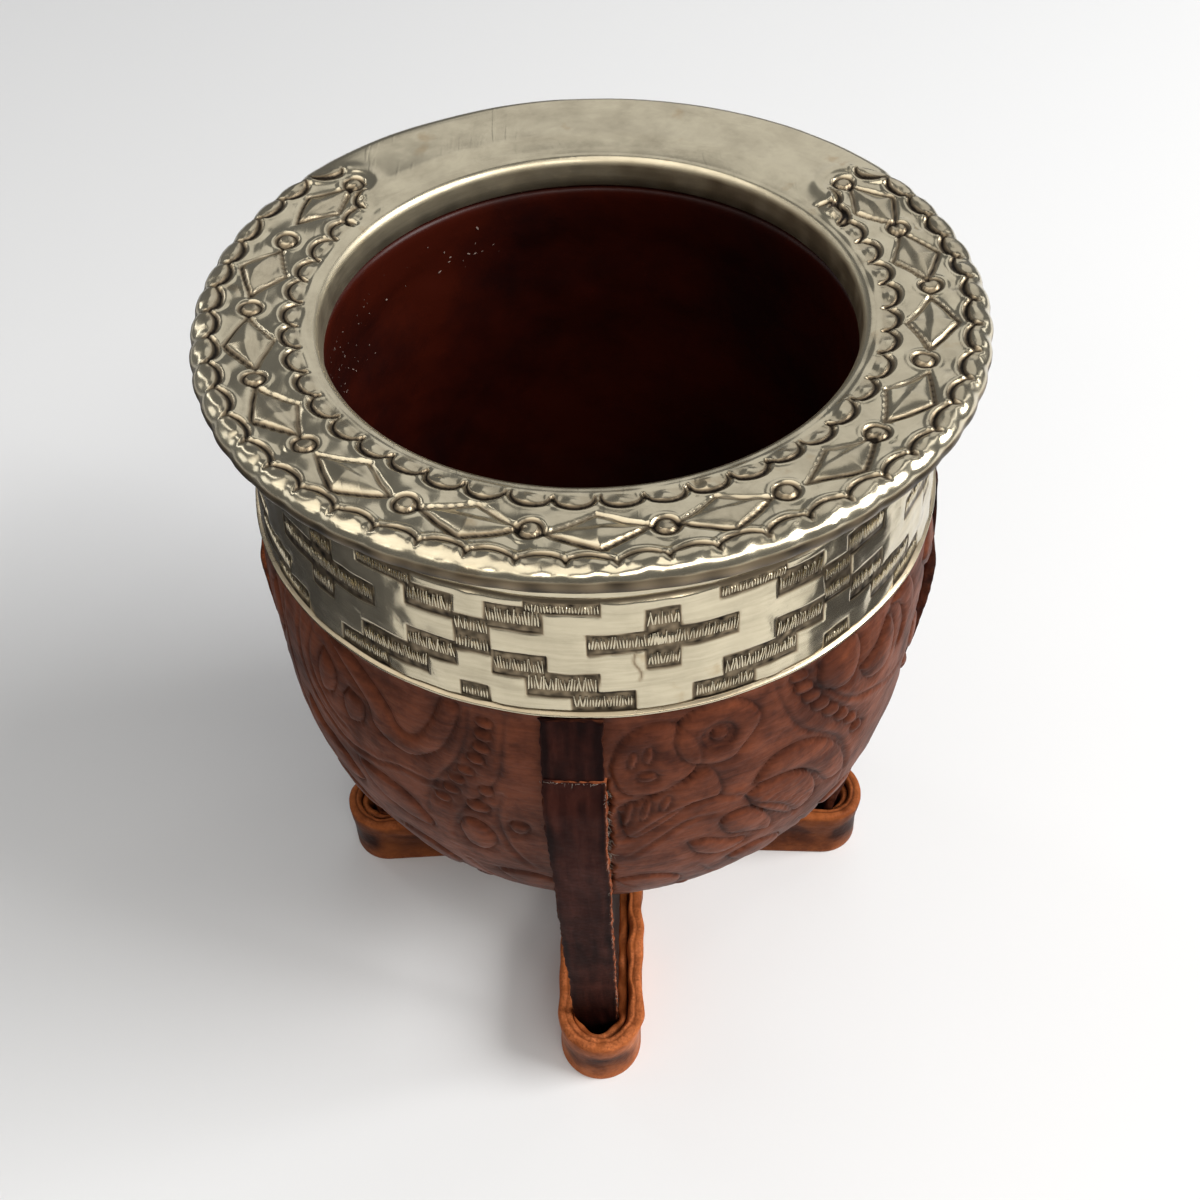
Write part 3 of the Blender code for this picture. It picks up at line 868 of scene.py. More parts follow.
    def build_skirt(self) -> bpy.types.Object:
        """Waist, ring, stepped band and bead as one skin."""
        azimuth = np.linspace(195.0, 555.0, self.columns, endpoint=False)
        waist = [(40.75, -2.2), (40.25, -3.0), (40.05, -3.9), (40.15, -4.8), (40.5, -5.4), (40.78, -5.75),
                 (40.82, -6.4), (40.72, -7.0), (40.35, -7.35), (40.35, -7.6)]
        band = [(self.band_line(depth), -depth) for depth in np.linspace(7.8, 22.75, 62)]
        foot = [(42.65, -22.9), (42.75, -23.0), (43.15, -23.0), (43.25, -23.2), (43.15, -23.45), (42.85, -23.6),
                (41.5, -23.6)]
        profile = np.array(waist + band + foot)
        radius, height = profile[:, :1] + 0 * azimuth, profile[:, 1:] + 0 * azimuth
        degrees = azimuth[None, :] + 0 * radius
        spots = round_places(degrees, radius, height)
        depth = -height + 0.10 * ripple(spots, 7.0, 41)
        bearing = degrees + 0.16 * ripple(spots, 5.0, 42)
        inside = np.full(depth.shape, -9.0)
        degree = math.radians(1) * self.band_radius
        for tile in self.tiles():
            level = np.minimum(depth - tile.top, tile.bottom - depth)
            for turn in (-360.0, 0.0):
                aside = np.minimum(bearing - tile.start - turn, tile.end + turn - bearing) * degree
                inside = np.maximum(inside, np.minimum(aside, level))
        rows, last_band = np.arange(len(profile))[:, None], len(waist) + len(band)
        on_band = ease(rows, len(waist) - 1, len(waist) + 1) * (1 - ease(rows, last_band - 1, last_band))
        hatched = ease(inside, -0.02, 0.22)
        line = notch(inside, 0.24)
        beaten = 0.05 * ripple(spots, 6.0, 43) + 0.025 * ripple(spots, 2.2, 44) + 0.06 * np.clip(-inside, 0, 1.5)
        push = (1 - hatched) * beaten - 0.10 * hatched - 0.16 * line
        radius = radius + on_band * push
        radius = radius + (1 - on_band) * 0.05 * ripple(spots, 12.0, 45) * ease(rows, 2, 6)
        soil_and_shade = on_band * (line + hatched * (0.66 + 0.16 * ripple(spots, 0.9, 46)))
        # Dark lines in the groove under the ring and at the joint above the bead; the broad band at the waist under the
        # lip is painted shade
        for share, middle, wide in ((0.85, -7.5, 0.22), (0.75, -22.88, 0.13), (0.35, -3.9, 0.9)):
            soil_and_shade = soil_and_shade + share * np.exp(-((height - middle) / wide) ** 2)
        # One old scratch beside the cross in front
        scratch = np.exp(-((bearing - 275.2 - 0.5 * np.sin(depth * 1.5)) / 0.28) ** 2)
        scratch = scratch * ease(depth, 14.4, 15.0) * (1 - ease(depth, 18.4, 19.0))
        soil_and_shade = soil_and_shade + 0.5 * scratch
        places = round_places(degrees, radius - 0.03 * scratch, height + self.rim_height)
        return skin("ferrule_band", places, True, {Mark.SOIL_AND_SHADE.value: np.clip(soil_and_shade, 0, 1)})

    def build_slivers(self, tree: Any, finish: bpy.types.Material) -> bpy.types.Object:
        """Slivers of the hatching, row by row inside every tile."""
        lines, reach, stations = [], [], 12
        for tile in self.tiles():
            tall = tile.bottom - tile.top
            count = max(1, round(tall / 3.0))
            for row in range(count):
                depth = tile.top + (row + 0.5) * tall / count + 0.16
                bearing = np.linspace(tile.start + 0.35, tile.end - 0.35, stations)
                lines.append(round_places(bearing, self.band_line(depth) - 0.14, self.rim_height - depth))
                reach.append(0.5 * tall / count + 0.05)
        piece = paths_object("band_hatching", lines, reach)
        grow(piece, tree, {"Pitch": 0.31 * MM, "Width": 0.135 * MM, "Rise": 0.12 * MM, "Lean": 0.16, "Seed": 3,
                           "Material": finish})
        return piece

    def build(self, finishes: Finishes, slivers: Any) -> None:
        """Make and dress every piece of the ferrule."""
        dress(self.build_top(), finishes.metal, "nickel_silver", "ferrule")
        dress(self.build_skirt(), finishes.metal, "nickel_silver", "ferrule")
        dress(self.build_slivers(slivers, finishes.metal), finishes.metal, "nickel_silver")


# The gourd and its leather

@dataclass
class Gourd:
    """The gourd's inner wall, seen through the mouth."""

    profile: tuple[tuple[float, float], ...] = (
        (32.6, 107.9), (31.6, 107.7), (31.7, 105.5), (32.4, 102.0), (33.8, 96.8), (34.7, 88.4), (35.9, 76.0),
        (36.1, 66.0), (35.6, 59.0), (33.9, 52.7), (30.2, 44.7), (25.5, 35.7), (18.6, 25.8), (9.5, 21.0), (0.0, 19.9))
    columns: int = 220
    rows: int = 130

    def wall(self, azimuth: np.ndarray) -> np.ndarray:
        """Points of the wall from its top down, slightly uneven."""
        line = even_steps(smooth_line(list(self.profile), 12, True), self.rows)
        spots = round_places(azimuth[None, :], line[:, :1], line[:, 1:])
        uneven = 0.35 * ripple(spots, 26.0, 71) + 0.10 * ripple(spots, 7.0, 72)
        inward = ease(np.arange(self.rows)[:, None], 3, 14) * ease(line[:, :1], 0.0, 12.0)
        return round_places(azimuth[None, :], line[:, :1] - inward * np.abs(uneven), line[:, 1:])

    def build(self, finishes: Finishes, flecks: Any) -> None:
        """Make the wall and the dry flecks on it."""
        places = self.wall(np.linspace(0, 360, self.columns, endpoint=False))
        # Rows are turned round so that the wall faces the axis
        upward = places[::-1].copy()
        index = np.arange(self.rows * self.columns).reshape(self.rows, self.columns)
        index[0] = index[0, 0]
        index = np.concatenate([index, index[:, :1]], axis=1)
        faces = np.stack([index[:-1, :-1], index[1:, :-1], index[1:, 1:], index[:-1, 1:]], axis=-1).reshape(-1, 4)
        wall = new_mesh("gourd_wall", upward.reshape(-1, 3), faces)
        wall.data.validate(clean_customdata=False)
        dress(wall, finishes.gourd, "gourd", "gourd_shell")
        for name, span, top, bottom, density, size, seed in (
                ("flecks_left", (150.0, 200.0), 6, 22, 260000.0, 0.10, 8),
                ("flecks_back", (112.0, 150.0), 5, 14, 200000.0, 0.15, 9)):
            patch = self.wall(np.linspace(*span, 40))[top:bottom]
            patch = patch * np.array([0.9985, 0.9985, 1.0])
            piece = skin(name, patch[::-1].copy(), False)
            grow(piece, flecks, {"Density": density, "Size": size * MM, "Seed": seed, "Material": finishes.fleck})
            dress(piece, finishes.fleck, "gourd")


class Cut(Enum):
    """How a tooled line is worked into the leather."""

    FORM = "form"
    LINE = "line"
    VEIN = "vein"


@dataclass(frozen=True)
class Stroke:
    """One tooled line: points in azimuth degrees and height in mm."""

    cut: Cut
    points: tuple[tuple[float, float], ...]
    lift: float = 0.34

    def moved(self, turn: float, mirror: float | None = None, drop: float = 0.0) -> Stroke:
        """The same stroke somewhere else on the cover.

        Args:
            turn: Degrees that it is turned by.
            mirror: Azimuth that it is mirrored about first, or None.
            drop: How far it is moved down, mm.

        Returns:
            The new stroke.
        """
        points = [((2 * mirror - a if mirror is not None else a) + turn, z - drop) for a, z in self.points]
        return Stroke(self.cut, tuple(points), self.lift)


def bead(azimuth: float, height: float, long: float, wide: float, lean: float, lift: float = 0.3) -> Stroke:
    """A small oval form.

    Args:
        azimuth: Middle, degrees.
        height: Middle, mm.
        long: Half its length, mm.
        wide: Half its width, mm.
        lean: Degrees that its length leans from upright.
        lift: How far it is raised, mm.

    Returns:
        The stroke.
    """
    c, w = math.cos(math.radians(lean)), math.sin(math.radians(lean))
    ring = []
    for step in range(9):
        along, across = long * math.cos(step * math.pi / 4.5), wide * math.sin(step * math.pi / 4.5)
        ring.append((azimuth + (across * c + along * w) / Tooling.degree, height + along * c - across * w))
    return Stroke(Cut.FORM, tuple(ring), lift)


@dataclass
class Tooling:
    """Scrolls, petals and leaves worked into the cover, laid out round it."""

    degree: float = 0.768

    def right_of_front(self) -> list[Stroke]:
        """Rose, petals, stem and leaf between the front strap and the right side."""
        form, line, vein = Cut.FORM, Cut.LINE, Cut.VEIN
        return [
            # Petals beside the strap, with their ovals
            Stroke(form, ((270.8, 80.5), (272.4, 76.2), (275.6, 75.0), (279.6, 75.2), (282.6, 77.2), (284.4, 79.8),
                          (283.6, 83.8), (280.0, 86.6), (275.8, 86.6), (272.6, 84.6)), 0.26),
            Stroke(form, ((272.0, 72.6), (273.6, 66.4), (278.6, 68.6), (283.4, 71.8), (287.8, 72.2), (287.6, 75.2),
                          (285.8, 77.8), (282.4, 77.0), (277.4, 74.6)), 0.28),
            # Rose with its eye
            Stroke(form, ((280.4, 83.8), (281.6, 80.9), (284.6, 79.0), (289.2, 78.6), (291.8, 80.6), (294.2, 83.6),
                          (293.0, 86.3), (289.6, 88.0), (285.2, 88.2), (281.6, 86.6)), 0.40),
            bead(287.2, 83.4, 1.9, 2.0, 0.0, -0.16), bead(287.4, 83.5, 1.0, 1.1, 0.0, 0.30),
            bead(276.6, 82.2, 1.5, 0.55, 8.0), bead(274.2, 81.6, 1.5, 0.5, 8.0), bead(276.4, 78.6, 0.9, 1.2, 0.0),
            bead(273.4, 71.4, 2.3, 0.5, 10.0), bead(276.2, 71.9, 2.0, 0.5, 12.0), bead(279.2, 72.9, 1.5, 0.55, 16.0),
            # Long stem with its row of beads
            Stroke(line, ((296.4, 88.6), (297.4, 85.8), (299.6, 81.2), (302.2, 78.0), (305.6, 75.2), (309.2, 72.4),
                          (311.8, 69.4), (314.0, 64.8), (314.8, 58.0))),
            Stroke(line, ((304.2, 88.4), (306.4, 83.8), (309.6, 79.8), (314.4, 76.4), (319.4, 74.4), (326.2, 71.6),
                          (333.0, 70.4))),
            bead(301.2, 87.0, 0.9, 1.5, 24.0), bead(302.2, 84.8, 0.9, 1.6, 26.0), bead(303.8, 82.6, 1.0, 1.6, 30.0),
            bead(305.8, 80.2, 1.0, 1.7, 36.0), bead(308.2, 77.8, 1.0, 1.6, 40.0), bead(311.0, 75.2, 1.0, 1.5, 40.0),
            bead(313.6, 72.6, 0.9, 1.4, 36.0), bead(315.6, 69.6, 0.9, 1.2, 24.0),
            # Smooth disc under the band and its wings
            Stroke(form, ((305.4, 87.4), (305.0, 84.4), (307.6, 81.8), (311.8, 81.2), (314.0, 84.0), (313.6, 87.4),
                          (309.6, 88.4)), 0.42),
            Stroke(form, ((314.4, 81.4), (319.0, 82.6), (322.6, 85.2), (324.4, 81.4), (322.8, 77.4),
                          (317.4, 77.8)), 0.36),
            Stroke(form, ((323.6, 86.2), (326.8, 84.4), (328.4, 80.4), (326.8, 76.4), (330.6, 78.6), (332.2, 83.0),
                          (329.4, 87.2)), 0.34),
            # Leaf with its veins, and the petal under it
            Stroke(form, ((293.6, 71.6), (296.0, 74.6), (300.0, 75.6), (304.4, 74.6), (308.6, 71.8), (312.0, 67.8),
                          (313.8, 62.6), (310.0, 62.2), (306.6, 66.4), (302.4, 69.8), (297.4, 71.0)), 0.42),
            Stroke(form, ((292.6, 69.8), (296.6, 71.0), (301.2, 70.2), (305.0, 67.2), (306.8, 63.8), (306.6, 60.8),
                          (303.2, 59.6), (298.8, 62.6), (294.4, 66.4)), 0.30),
            Stroke(line, ((291.4, 70.4), (294.4, 67.6), (298.8, 65.0), (301.8, 61.8), (303.6, 58.6))),
            *(Stroke(vein, ((294.6 + 1.15 * i, 67.9 - 0.95 * i), (297.6 + 1.1 * i, 68.9 - 0.95 * i),
                            (301.0 + 0.85 * i, 69.2 - 1.1 * i))) for i in range(7)),
            Stroke(form, ((288.4, 65.4), (289.6, 66.8), (293.2, 66.7), (295.8, 64.8), (298.2, 61.2), (298.0, 59.0),
                          (294.2, 60.4), (290.0, 62.4)), 0.40),
            Stroke(line, ((272.8, 66.0), (276.2, 68.4), (281.0, 71.2), (286.4, 72.0), (291.0, 70.6))),
            Stroke(line, ((273.8, 62.0), (278.2, 65.2), (283.0, 68.2), (288.6, 68.0))),
            Stroke(form, ((283.2, 62.8), (286.4, 62.4), (290.6, 60.2), (294.0, 58.6), (290.0, 57.2),
                          (285.0, 59.4)), 0.30),
        ]

    def left_of_front(self) -> list[Stroke]:
        """Scrolls, hook and bead column between the left side and the front strap."""
        form, line = Cut.FORM, Cut.LINE
        return [
            Stroke(form, ((222.0, 88.2), (226.8, 85.2), (231.2, 81.8), (232.4, 78.0), (236.8, 76.0), (241.0, 76.6),
                          (245.4, 80.2), (248.4, 86.8), (246.0, 88.3), (243.6, 83.8), (240.6, 80.0), (237.4, 80.0),
                          (234.8, 83.6), (228.4, 87.4)), 0.42),
            Stroke(line, ((214.6, 88.4), (213.4, 82.4), (214.2, 76.8), (217.6, 72.2), (223.4, 69.6), (230.6, 70.4),
                          (236.8, 72.2), (243.2, 72.4), (247.8, 75.4))),
            Stroke(line, ((218.4, 86.8), (216.8, 82.0), (217.6, 77.6), (220.6, 74.0), (225.4, 72.6))),
            Stroke(form, ((221.4, 85.0), (219.6, 81.2), (220.4, 77.4), (223.0, 78.6), (224.0, 82.6)), 0.36),
            Stroke(form, ((227.2, 81.4), (225.4, 78.6), (226.6, 75.6), (229.4, 76.8), (230.0, 80.0)), 0.34),
            *(bead(a, z, 0.8, 1.1, 14.0) for a, z in ((252.4, 85.8), (252.1, 83.8), (251.7, 81.7), (250.6, 79.6),
                                                      (248.8, 76.9), (247.0, 74.6), (245.8, 72.2), (244.0, 69.8))),
            Stroke(line, ((250.0, 88.0), (249.4, 83.4), (247.4, 78.4), (244.6, 74.6), (241.8, 70.2), (240.8, 65.4))),
            Stroke(line, ((255.6, 87.8), (255.0, 82.0), (254.0, 77.0), (250.6, 72.0), (246.8, 67.6), (244.8, 62.0))),
            bead(251.8, 73.8, 1.0, 0.9, 0.0), bead(250.1, 70.1, 1.1, 1.6, 0.0), bead(256.6, 67.4, 1.3, 1.2, 20.0),
            Stroke(form, ((246.2, 64.4), (247.4, 61.0), (250.6, 60.4), (252.4, 63.2), (250.8, 66.2),
                          (247.8, 66.8)), 0.40),
            Stroke(line, ((254.4, 74.0), (253.2, 68.6), (254.6, 62.6), (258.0, 57.8))),
            Stroke(form, ((226.0, 67.4), (231.6, 67.8), (237.4, 66.0), (240.8, 61.4), (235.4, 61.0),
                          (229.4, 63.2)), 0.34),
            Stroke(form, ((212.0, 70.2), (215.6, 66.8), (221.0, 65.4), (225.4, 61.4), (219.6, 59.6), (213.8, 62.4),
                          (211.0, 66.4)), 0.36),
            Stroke(line, ((208.6, 87.6), (207.0, 80.4), (207.6, 72.6), (209.6, 64.8), (214.6, 58.0))),
            Stroke(form, ((203.6, 86.0), (201.6, 80.6), (202.4, 75.0), (205.4, 79.6)), 0.34),
        ]

    def side_fill(self, middle: float) -> list[Stroke]:
        """Leaf and scrolls for a side that the photograph hides, round one azimuth."""
        form, line, vein = Cut.FORM, Cut.LINE, Cut.VEIN
        base = [
            Stroke(form, ((-13.0, 84.0), (-8.0, 87.0), (0.0, 85.0), (6.0, 79.4), (8.6, 72.0), (2.4, 74.8),
                          (-6.0, 78.2)), 0.40),
            Stroke(line, ((-10.0, 83.6), (-3.4, 81.4), (3.0, 77.2), (7.4, 72.4))),
            *(Stroke(vein, ((-7.6 + 2.4 * i, 82.6 - 1.5 * i), (-5.0 + 2.4 * i, 85.2 - 1.9 * i))) for i in range(5)),
            Stroke(line, ((-15.0, 78.0), (-9.0, 74.6), (-3.0, 71.4), (2.0, 65.6), (3.4, 58.0))),
            Stroke(line, ((16.0, 87.6), (12.4, 80.4), (13.2, 72.6), (9.0, 64.0), (8.0, 56.0))),
            Stroke(form, ((-12.0, 72.0), (-7.4, 70.6), (-3.4, 66.4), (-3.0, 60.6), (-8.4, 63.4),
                          (-12.4, 67.4)), 0.36),
            *(bead(-14.0 + 2.2 * i, 66.0 - 2.4 * i, 1.0, 1.5, 36.0) for i in range(5)),
        ]
        return [stroke.moved(middle) for stroke in base]

    def low_fill(self) -> list[Stroke]:
        """Plain curved flutes round the bowl, under the main pattern."""
        found = []
        for index in range(18):
            a = 6.0 + 20.0 * index
            found.append(Stroke(Cut.LINE, ((a, 55.0), (a + 4.0, 49.4), (a + 11.0, 45.0), (a + 15.0, 38.0))))
            found.append(Stroke(Cut.FORM, ((a + 5.0, 54.4), (a + 9.0, 50.0), (a + 15.0, 47.4), (a + 17.0, 52.0),
                                           (a + 11.0, 55.4)), 0.30))
            found.append(bead(a + 19.0, 44.5, 2.0, 1.3, -20.0))
        return found

    def strokes(self) -> list[Stroke]:
        """The whole pattern round the cover."""
        right, left = self.right_of_front(), self.left_of_front()
        return [*right, *left, *(stroke.moved(0.0, mirror=356.5) for stroke in right),
                *(stroke.moved(0.0, mirror=182.0) for stroke in left), *self.side_fill(350.5), *self.side_fill(188.0),
                *self.low_fill()]

    def work(self, azimuth: np.ndarray, height: np.ndarray, line: np.ndarray) -> tuple[np.ndarray, np.ndarray]:
        """Relief of the pattern.

        Args:
            azimuth: Angle of each column, degrees.
            height: Height of each row, mm.
            line: Outside of the cover, for lengths down its side.

        Returns:
            Lift in mm and dye from 0 to 1, by row and column.
        """
        down = np.concatenate([[0.0], np.cumsum(np.hypot(*np.diff(line, axis=0).T))])
        fall = np.interp(-height, -line[:, 1], down)
        lift, dye_and_shade = np.zeros((2, len(height), len(azimuth)))
        for stroke in self.strokes():
            closed = stroke.cut is Cut.FORM
            points = list(stroke.points) + ([stroke.points[0]] if closed else [])
            for turn in (-360.0, 0.0, 360.0):
                curve = smooth_line([((a + turn) * self.degree, z) for a, z in points], 5)
                curve[:, 1] = np.interp(-curve[:, 1], -line[:, 1], down)
                low, high = curve.min(axis=0) - 2.6, curve.max(axis=0) + 2.6
                columns = np.flatnonzero((azimuth * self.degree > low[0]) & (azimuth * self.degree < high[0]))
                rows = np.flatnonzero((fall > low[1]) & (fall < high[1]))
                if len(columns) == 0 or len(rows) == 0:
                    continue
                window = np.ix_(rows, columns)
                spots = np.stack(np.meshgrid(azimuth[columns] * self.degree, fall[rows]), axis=-1)[:, :, None, :]
                start, step = curve[:-1], np.diff(curve, axis=0)
                share = np.clip(((spots - start) * step).sum(-1) / ((step ** 2).sum(-1) + 1e-9), 0.0, 1.0)
                reach = np.linalg.norm(spots - start - share[..., None] * step, axis=-1)
                gap = reach.min(axis=2)
                along = (reach.argmin(axis=2) + 0.5) / len(start)
                if closed:
                    swell = np.exp(-(gap / 0.9) ** 2)
                    over = (start[:, 1] > spots[..., 1]) != (curve[1:, 1] > spots[..., 1])
                    rise = np.where(step[:, 1] == 0, 1e-9, step[:, 1])
                    cross = start[:, 0] + (spots[..., 1] - start[:, 1]) * step[:, 0] / rise
                    inside = (np.sum(over & (spots[..., 0] < cross), axis=2) % 2) == 1
                    crown = stroke.lift * (1 - np.exp(-gap / 0.9))
                    lift[window] = np.where(inside, 0.35 * lift[window] + crown, lift[window])
                    lift[window] -= np.where(inside, 0.0, 0.16 * swell)
                    lift[window] -= 0.20 * notch(gap, 0.44)
                    dye_and_shade[window] = np.where(inside, 0.5 * dye_and_shade[window], dye_and_shade[window] + 0.26 * swell)
                    dye_and_shade[window] += 0.34 * notch(gap, 0.46)
                else:
                    deepest, width = (0.26, 0.55) if stroke.cut is Cut.LINE else (0.12, 0.36)
                    deep = deepest * (0.35 + 0.65 * np.sin(np.pi * np.clip(along, 0.02, 0.98)))
                    lift[window] -= deep * notch(gap, width) - 0.05 * np.exp(-((gap - 0.9) / 0.4) ** 2)
                    dye_and_shade[window] += 2.2 * deep * notch(gap, width)
        return lift, dye_and_shade


@dataclass
class Cover:
    """The tooled leather cover in two halves, joined under the side straps."""

    outline: tuple[tuple[float, float], ...] = (
        (42.7, 88.9), (43.9, 80.0), (44.4, 64.0), (42.9, 53.0), (39.3, 44.0), (34.4, 34.5), (29.2, 25.5), (22.2, 17.6),
        (12.5, 12.8), (0.0, 11.6))
    columns: int = 540
    upper_rows: int = 158
    seam: float = 270.3

    def line(self) -> np.ndarray:
        """Outside of the cover as radius and height, mm."""
        return smooth_line(list(self.outline), 16, True)

    def radius_at(self, height: float) -> float:
        """Radius of the cover at a height, mm."""
        line = self.line()[::-1]
        return float(np.interp(height, line[:, 1], line[:, 0]))

    def half(self, name: str, start: float, end: float) -> bpy.types.Object:
        """One half between two angles."""
        line = self.line()
        split = int(np.argmax(line[:, 1] < 30.0))
        rows = np.concatenate([[[41.4, 88.95]], even_steps(line[:split + 1], self.upper_rows),
                               even_steps(line[split:], 26)[1:]])
        azimuth = np.linspace(start, end, self.columns + 1)
        radius, height = rows[:, :1] + 0 * azimuth, rows[:, 1:] + 0 * azimuth
        degrees = azimuth[None, :] + 0 * radius
        spots = round_places(degrees, radius, height)
        push = 0.10 * ripple(spots, 15.0, 81) + 0.03 * ripple(spots, 4.0, 82)
        hold = ease(np.arange(len(rows))[:, None], 1, 4) * ease(rows[:, :1], 2.0, 12.0)
        worked, dye_and_shade = Tooling().work(azimuth, rows[:, 1], line)
        slit, torn = self.slit(degrees, height)
        radius = radius + hold * (push + worked - slit - 0.1)
        raw = torn * (0.6 + 0.4 * ripple(spots, 1.1, 83))
        # The open seam is painted dark inside, as painted shade
        dye_and_shade = np.clip(dye_and_shade * (1 - torn), 0, 1) + 0.9 * ease(slit, 0.15, 0.6)
        marks = {Mark.DYE_AND_SHADE.value: np.clip(dye_and_shade, 0, 1), Mark.RAW.value: np.clip(raw, 0, 1)}
        return skin(name, round_places(degrees, radius, height), False, marks, pole=True)

    def slit(self, azimuth: np.ndarray, height: np.ndarray) -> tuple[np.ndarray, np.ndarray]:
        """Depth of the open seam beside the front strap, mm, and its torn lip from 0 to 1."""
        spots = np.stack([height, height * 0, azimuth * 0], axis=-1)
        wander = 0.28 * ripple(spots, 3.0, 84, 6) + 0.16 * ripple(spots, 1.1, 85, 6)
        across = (azimuth - self.seam) * math.radians(1) * 44.0 - wander
        tall = ease(height, 44.0, 50.0) * (1 - ease(height, 77.6, 79.4))
        depth = 0.95 * notch(across, 0.62) * tall
        return depth, 0.8 * np.exp(-((across - 0.75) / 0.28) ** 2) * tall

    def build(self, finishes: Finishes) -> None:
        """Make both halves."""
        dress(self.half("cover_front", 182.0, 356.5), finishes.cover, "tooled_leather", "leather_cover")
        dress(self.half("cover_back", -3.5, 182.0), finishes.cover, "tooled_leather", "leather_cover")


@dataclass
class Foot:
    """The clover of one leather strip that stands on its edge."""

    height: float = 11.3
    strip: float = 2.4
    half_width: float = 6.4
    fillet: float = 6.0
    lobes: tuple[tuple[str, float, float], ...] = (
        ("front", -92.3, 48.0), ("right", -3.5, 45.0), ("back", 88.5, 48.0), ("left", 182.0, 45.0))

    def outline(self) -> np.ndarray:
        """Outside of the clover seen from above, evenly stepped, mm."""
        points: list[np.ndarray] = []
        for index, (_, direction, reach) in enumerate(self.lobes):
            along = np.array([math.cos(math.radians(direction)), math.sin(math.radians(direction))])
            left = np.array([-along[1], along[0]])
            centre = along * (reach - self.half_width)
            for angle in np.linspace(-math.pi / 2, math.pi / 2, 25):
                points.append(centre + self.half_width * (along * math.cos(angle) + left * math.sin(angle)))
            turn = math.radians(self.lobes[(index + 1) % len(self.lobes)][1])
            next_left = np.array([-math.sin(turn), math.cos(turn)])
            here, there = left, -next_left
            middle = (here + there) * (self.half_width + self.fillet) / (1 + here @ there)
            start, end = math.atan2(-here[1], -here[0]), math.atan2(-there[1], -there[0])
            sweep = (end - start + math.pi) % (2 * math.pi) - math.pi
            for step in np.linspace(0, 1, 13):
                angle = start + sweep * step
                points.append(middle + self.fillet * np.array([math.cos(angle), math.sin(angle)]))
        loop = np.array([*points, points[0]])
        return even_steps(loop, 801)[:-1]

    def build(self, finishes: Finishes) -> None:
        """Sweep the strip's section round the clover."""
        loop = self.outline()
        ahead = np.roll(loop, -1, axis=0) - np.roll(loop, 1, axis=0)
        ahead /= np.linalg.norm(ahead, axis=1)[:, None]
        inward = np.stack([-ahead[:, 1], ahead[:, 0]], axis=-1)
        top, thick = self.height, self.strip
        section = np.array([(0.2, 0.0), (0.03, 0.25), *((0.0, z) for z in (0.8, 2.6, 4.6, 6.6, 8.6)), (0.02, 10.2),
                            (0.12, top - 0.45), (0.4, top - 0.1), (0.75, top), (1.1, top), (1.45, top - 0.14),
                            (1.75, top - 0.02), (1.95, top - 0.04), (2.15, top - 0.16), (thick - 0.08, top - 0.5),
                            *((thick, z) for z in (10.0, 8.0, 5.5, 3.0, 0.8)), (thick - 0.2, 0.0), (1.2, 0.0)])
        grid = loop[None, :, :] + inward[None, :, :] * section[:, None, :1]
        height = section[:, 1:] + 0 * loop[None, :, 0]
        places = np.concatenate([grid, height[..., None]], axis=-1)
        on_top = ease(section[:, 1:], 10.0, 11.2)
        off_floor = ease(section[:, 1:], 0.1, 1.0)
        tip, right = self.lobe_shares(loop)
        outside = section[:, :1] < thick / 2
        wave = 0.07 * ripple(places, 9.0, 51) + 0.05 * ripple(places, 2.4, 52) * on_top
        hollow = 0.42 * np.exp(-((section[:, 1:] - 5.6) / 2.4) ** 2) * (0.7 + 0.3 * ripple(places, 6.0, 56)) * outside
        flare = (0.35 + 0.25 * ripple(places, 5.0, 57)) * ease(section[:, 1:], 6.0, 11.0)
        flare = flare * (1 - tip) * (0.4 + 0.6 * right)
        side = np.where(outside, 1.0, -1.0)
        places[..., :2] += inward[None] * (side * np.abs(wave) * off_floor + hollow - flare)[..., None]
        places[..., 2] -= on_top * (0.08 + 0.10 * ripple(places, 1.6, 53) + 0.22 * ripple(places, 9.0, 54)).clip(0, 1)
        raw = on_top * (0.7 + 0.3 * ripple(places, 2.0, 55)) + 0.6 * (1 - ease(section[:, 1:], 0.5, 1.8)) * outside
        seam = np.exp(-((section[:, :1] - 1.45) / 0.16) ** 2) * on_top
        # The hollow of the outer face is painted darker, most at the toe of each lobe, as painted shade; the seam on
        # top and the inner face are darker too
        dye_and_shade = 0.5 * seam + 0.35 * (section[:, :1] > thick - 0.05) + (0.25 + 0.85 * tip) * hollow / 0.42
        # The lobes behind the front one are painted darker and less raw, as painted shadow of the cup
        painted_cup_shadow = ease(loop[:, 1], -30.0, -20.0)
        dye_and_shade = dye_and_shade + (0.60 - 0.30 * on_top) * painted_cup_shadow * (1 + 0.15 * ripple(places, 7.0, 58))
        raw = raw * (1 - 0.7 * seam) * (1 - 0.6 * painted_cup_shadow)
        dress(self.swept("foot_strip", places, dye_and_shade + 0 * height, raw), finishes.foot, "foot_leather", "foot_base")
        self.build_lining(finishes, loop, inward, tip, right)

    def lobe_shares(self, loop: np.ndarray) -> tuple[np.ndarray, np.ndarray]:
        """How near each point is to its lobe's tip, and how far to the lobe's right, both from 0 to 1."""
        bearing = np.degrees(np.arctan2(loop[:, 1], loop[:, 0]))
        tip, right = np.zeros(len(loop)), np.full(len(loop), 0.5)
        for _, direction, reach in self.lobes:
            turn = math.radians(direction)
            near = np.abs((bearing - direction + 180.0) % 360.0 - 180.0) < 45.0
            along = loop @ np.array([math.cos(turn), math.sin(turn)])
            across = loop @ np.array([-math.sin(turn), math.cos(turn)])
            tip = np.where(near, ease(along, reach - 6.4, reach - 2.5), tip)
            right = np.where(near, 0.5 + 0.5 * np.clip(across / 5.0, -1, 1), right)
        return tip, right

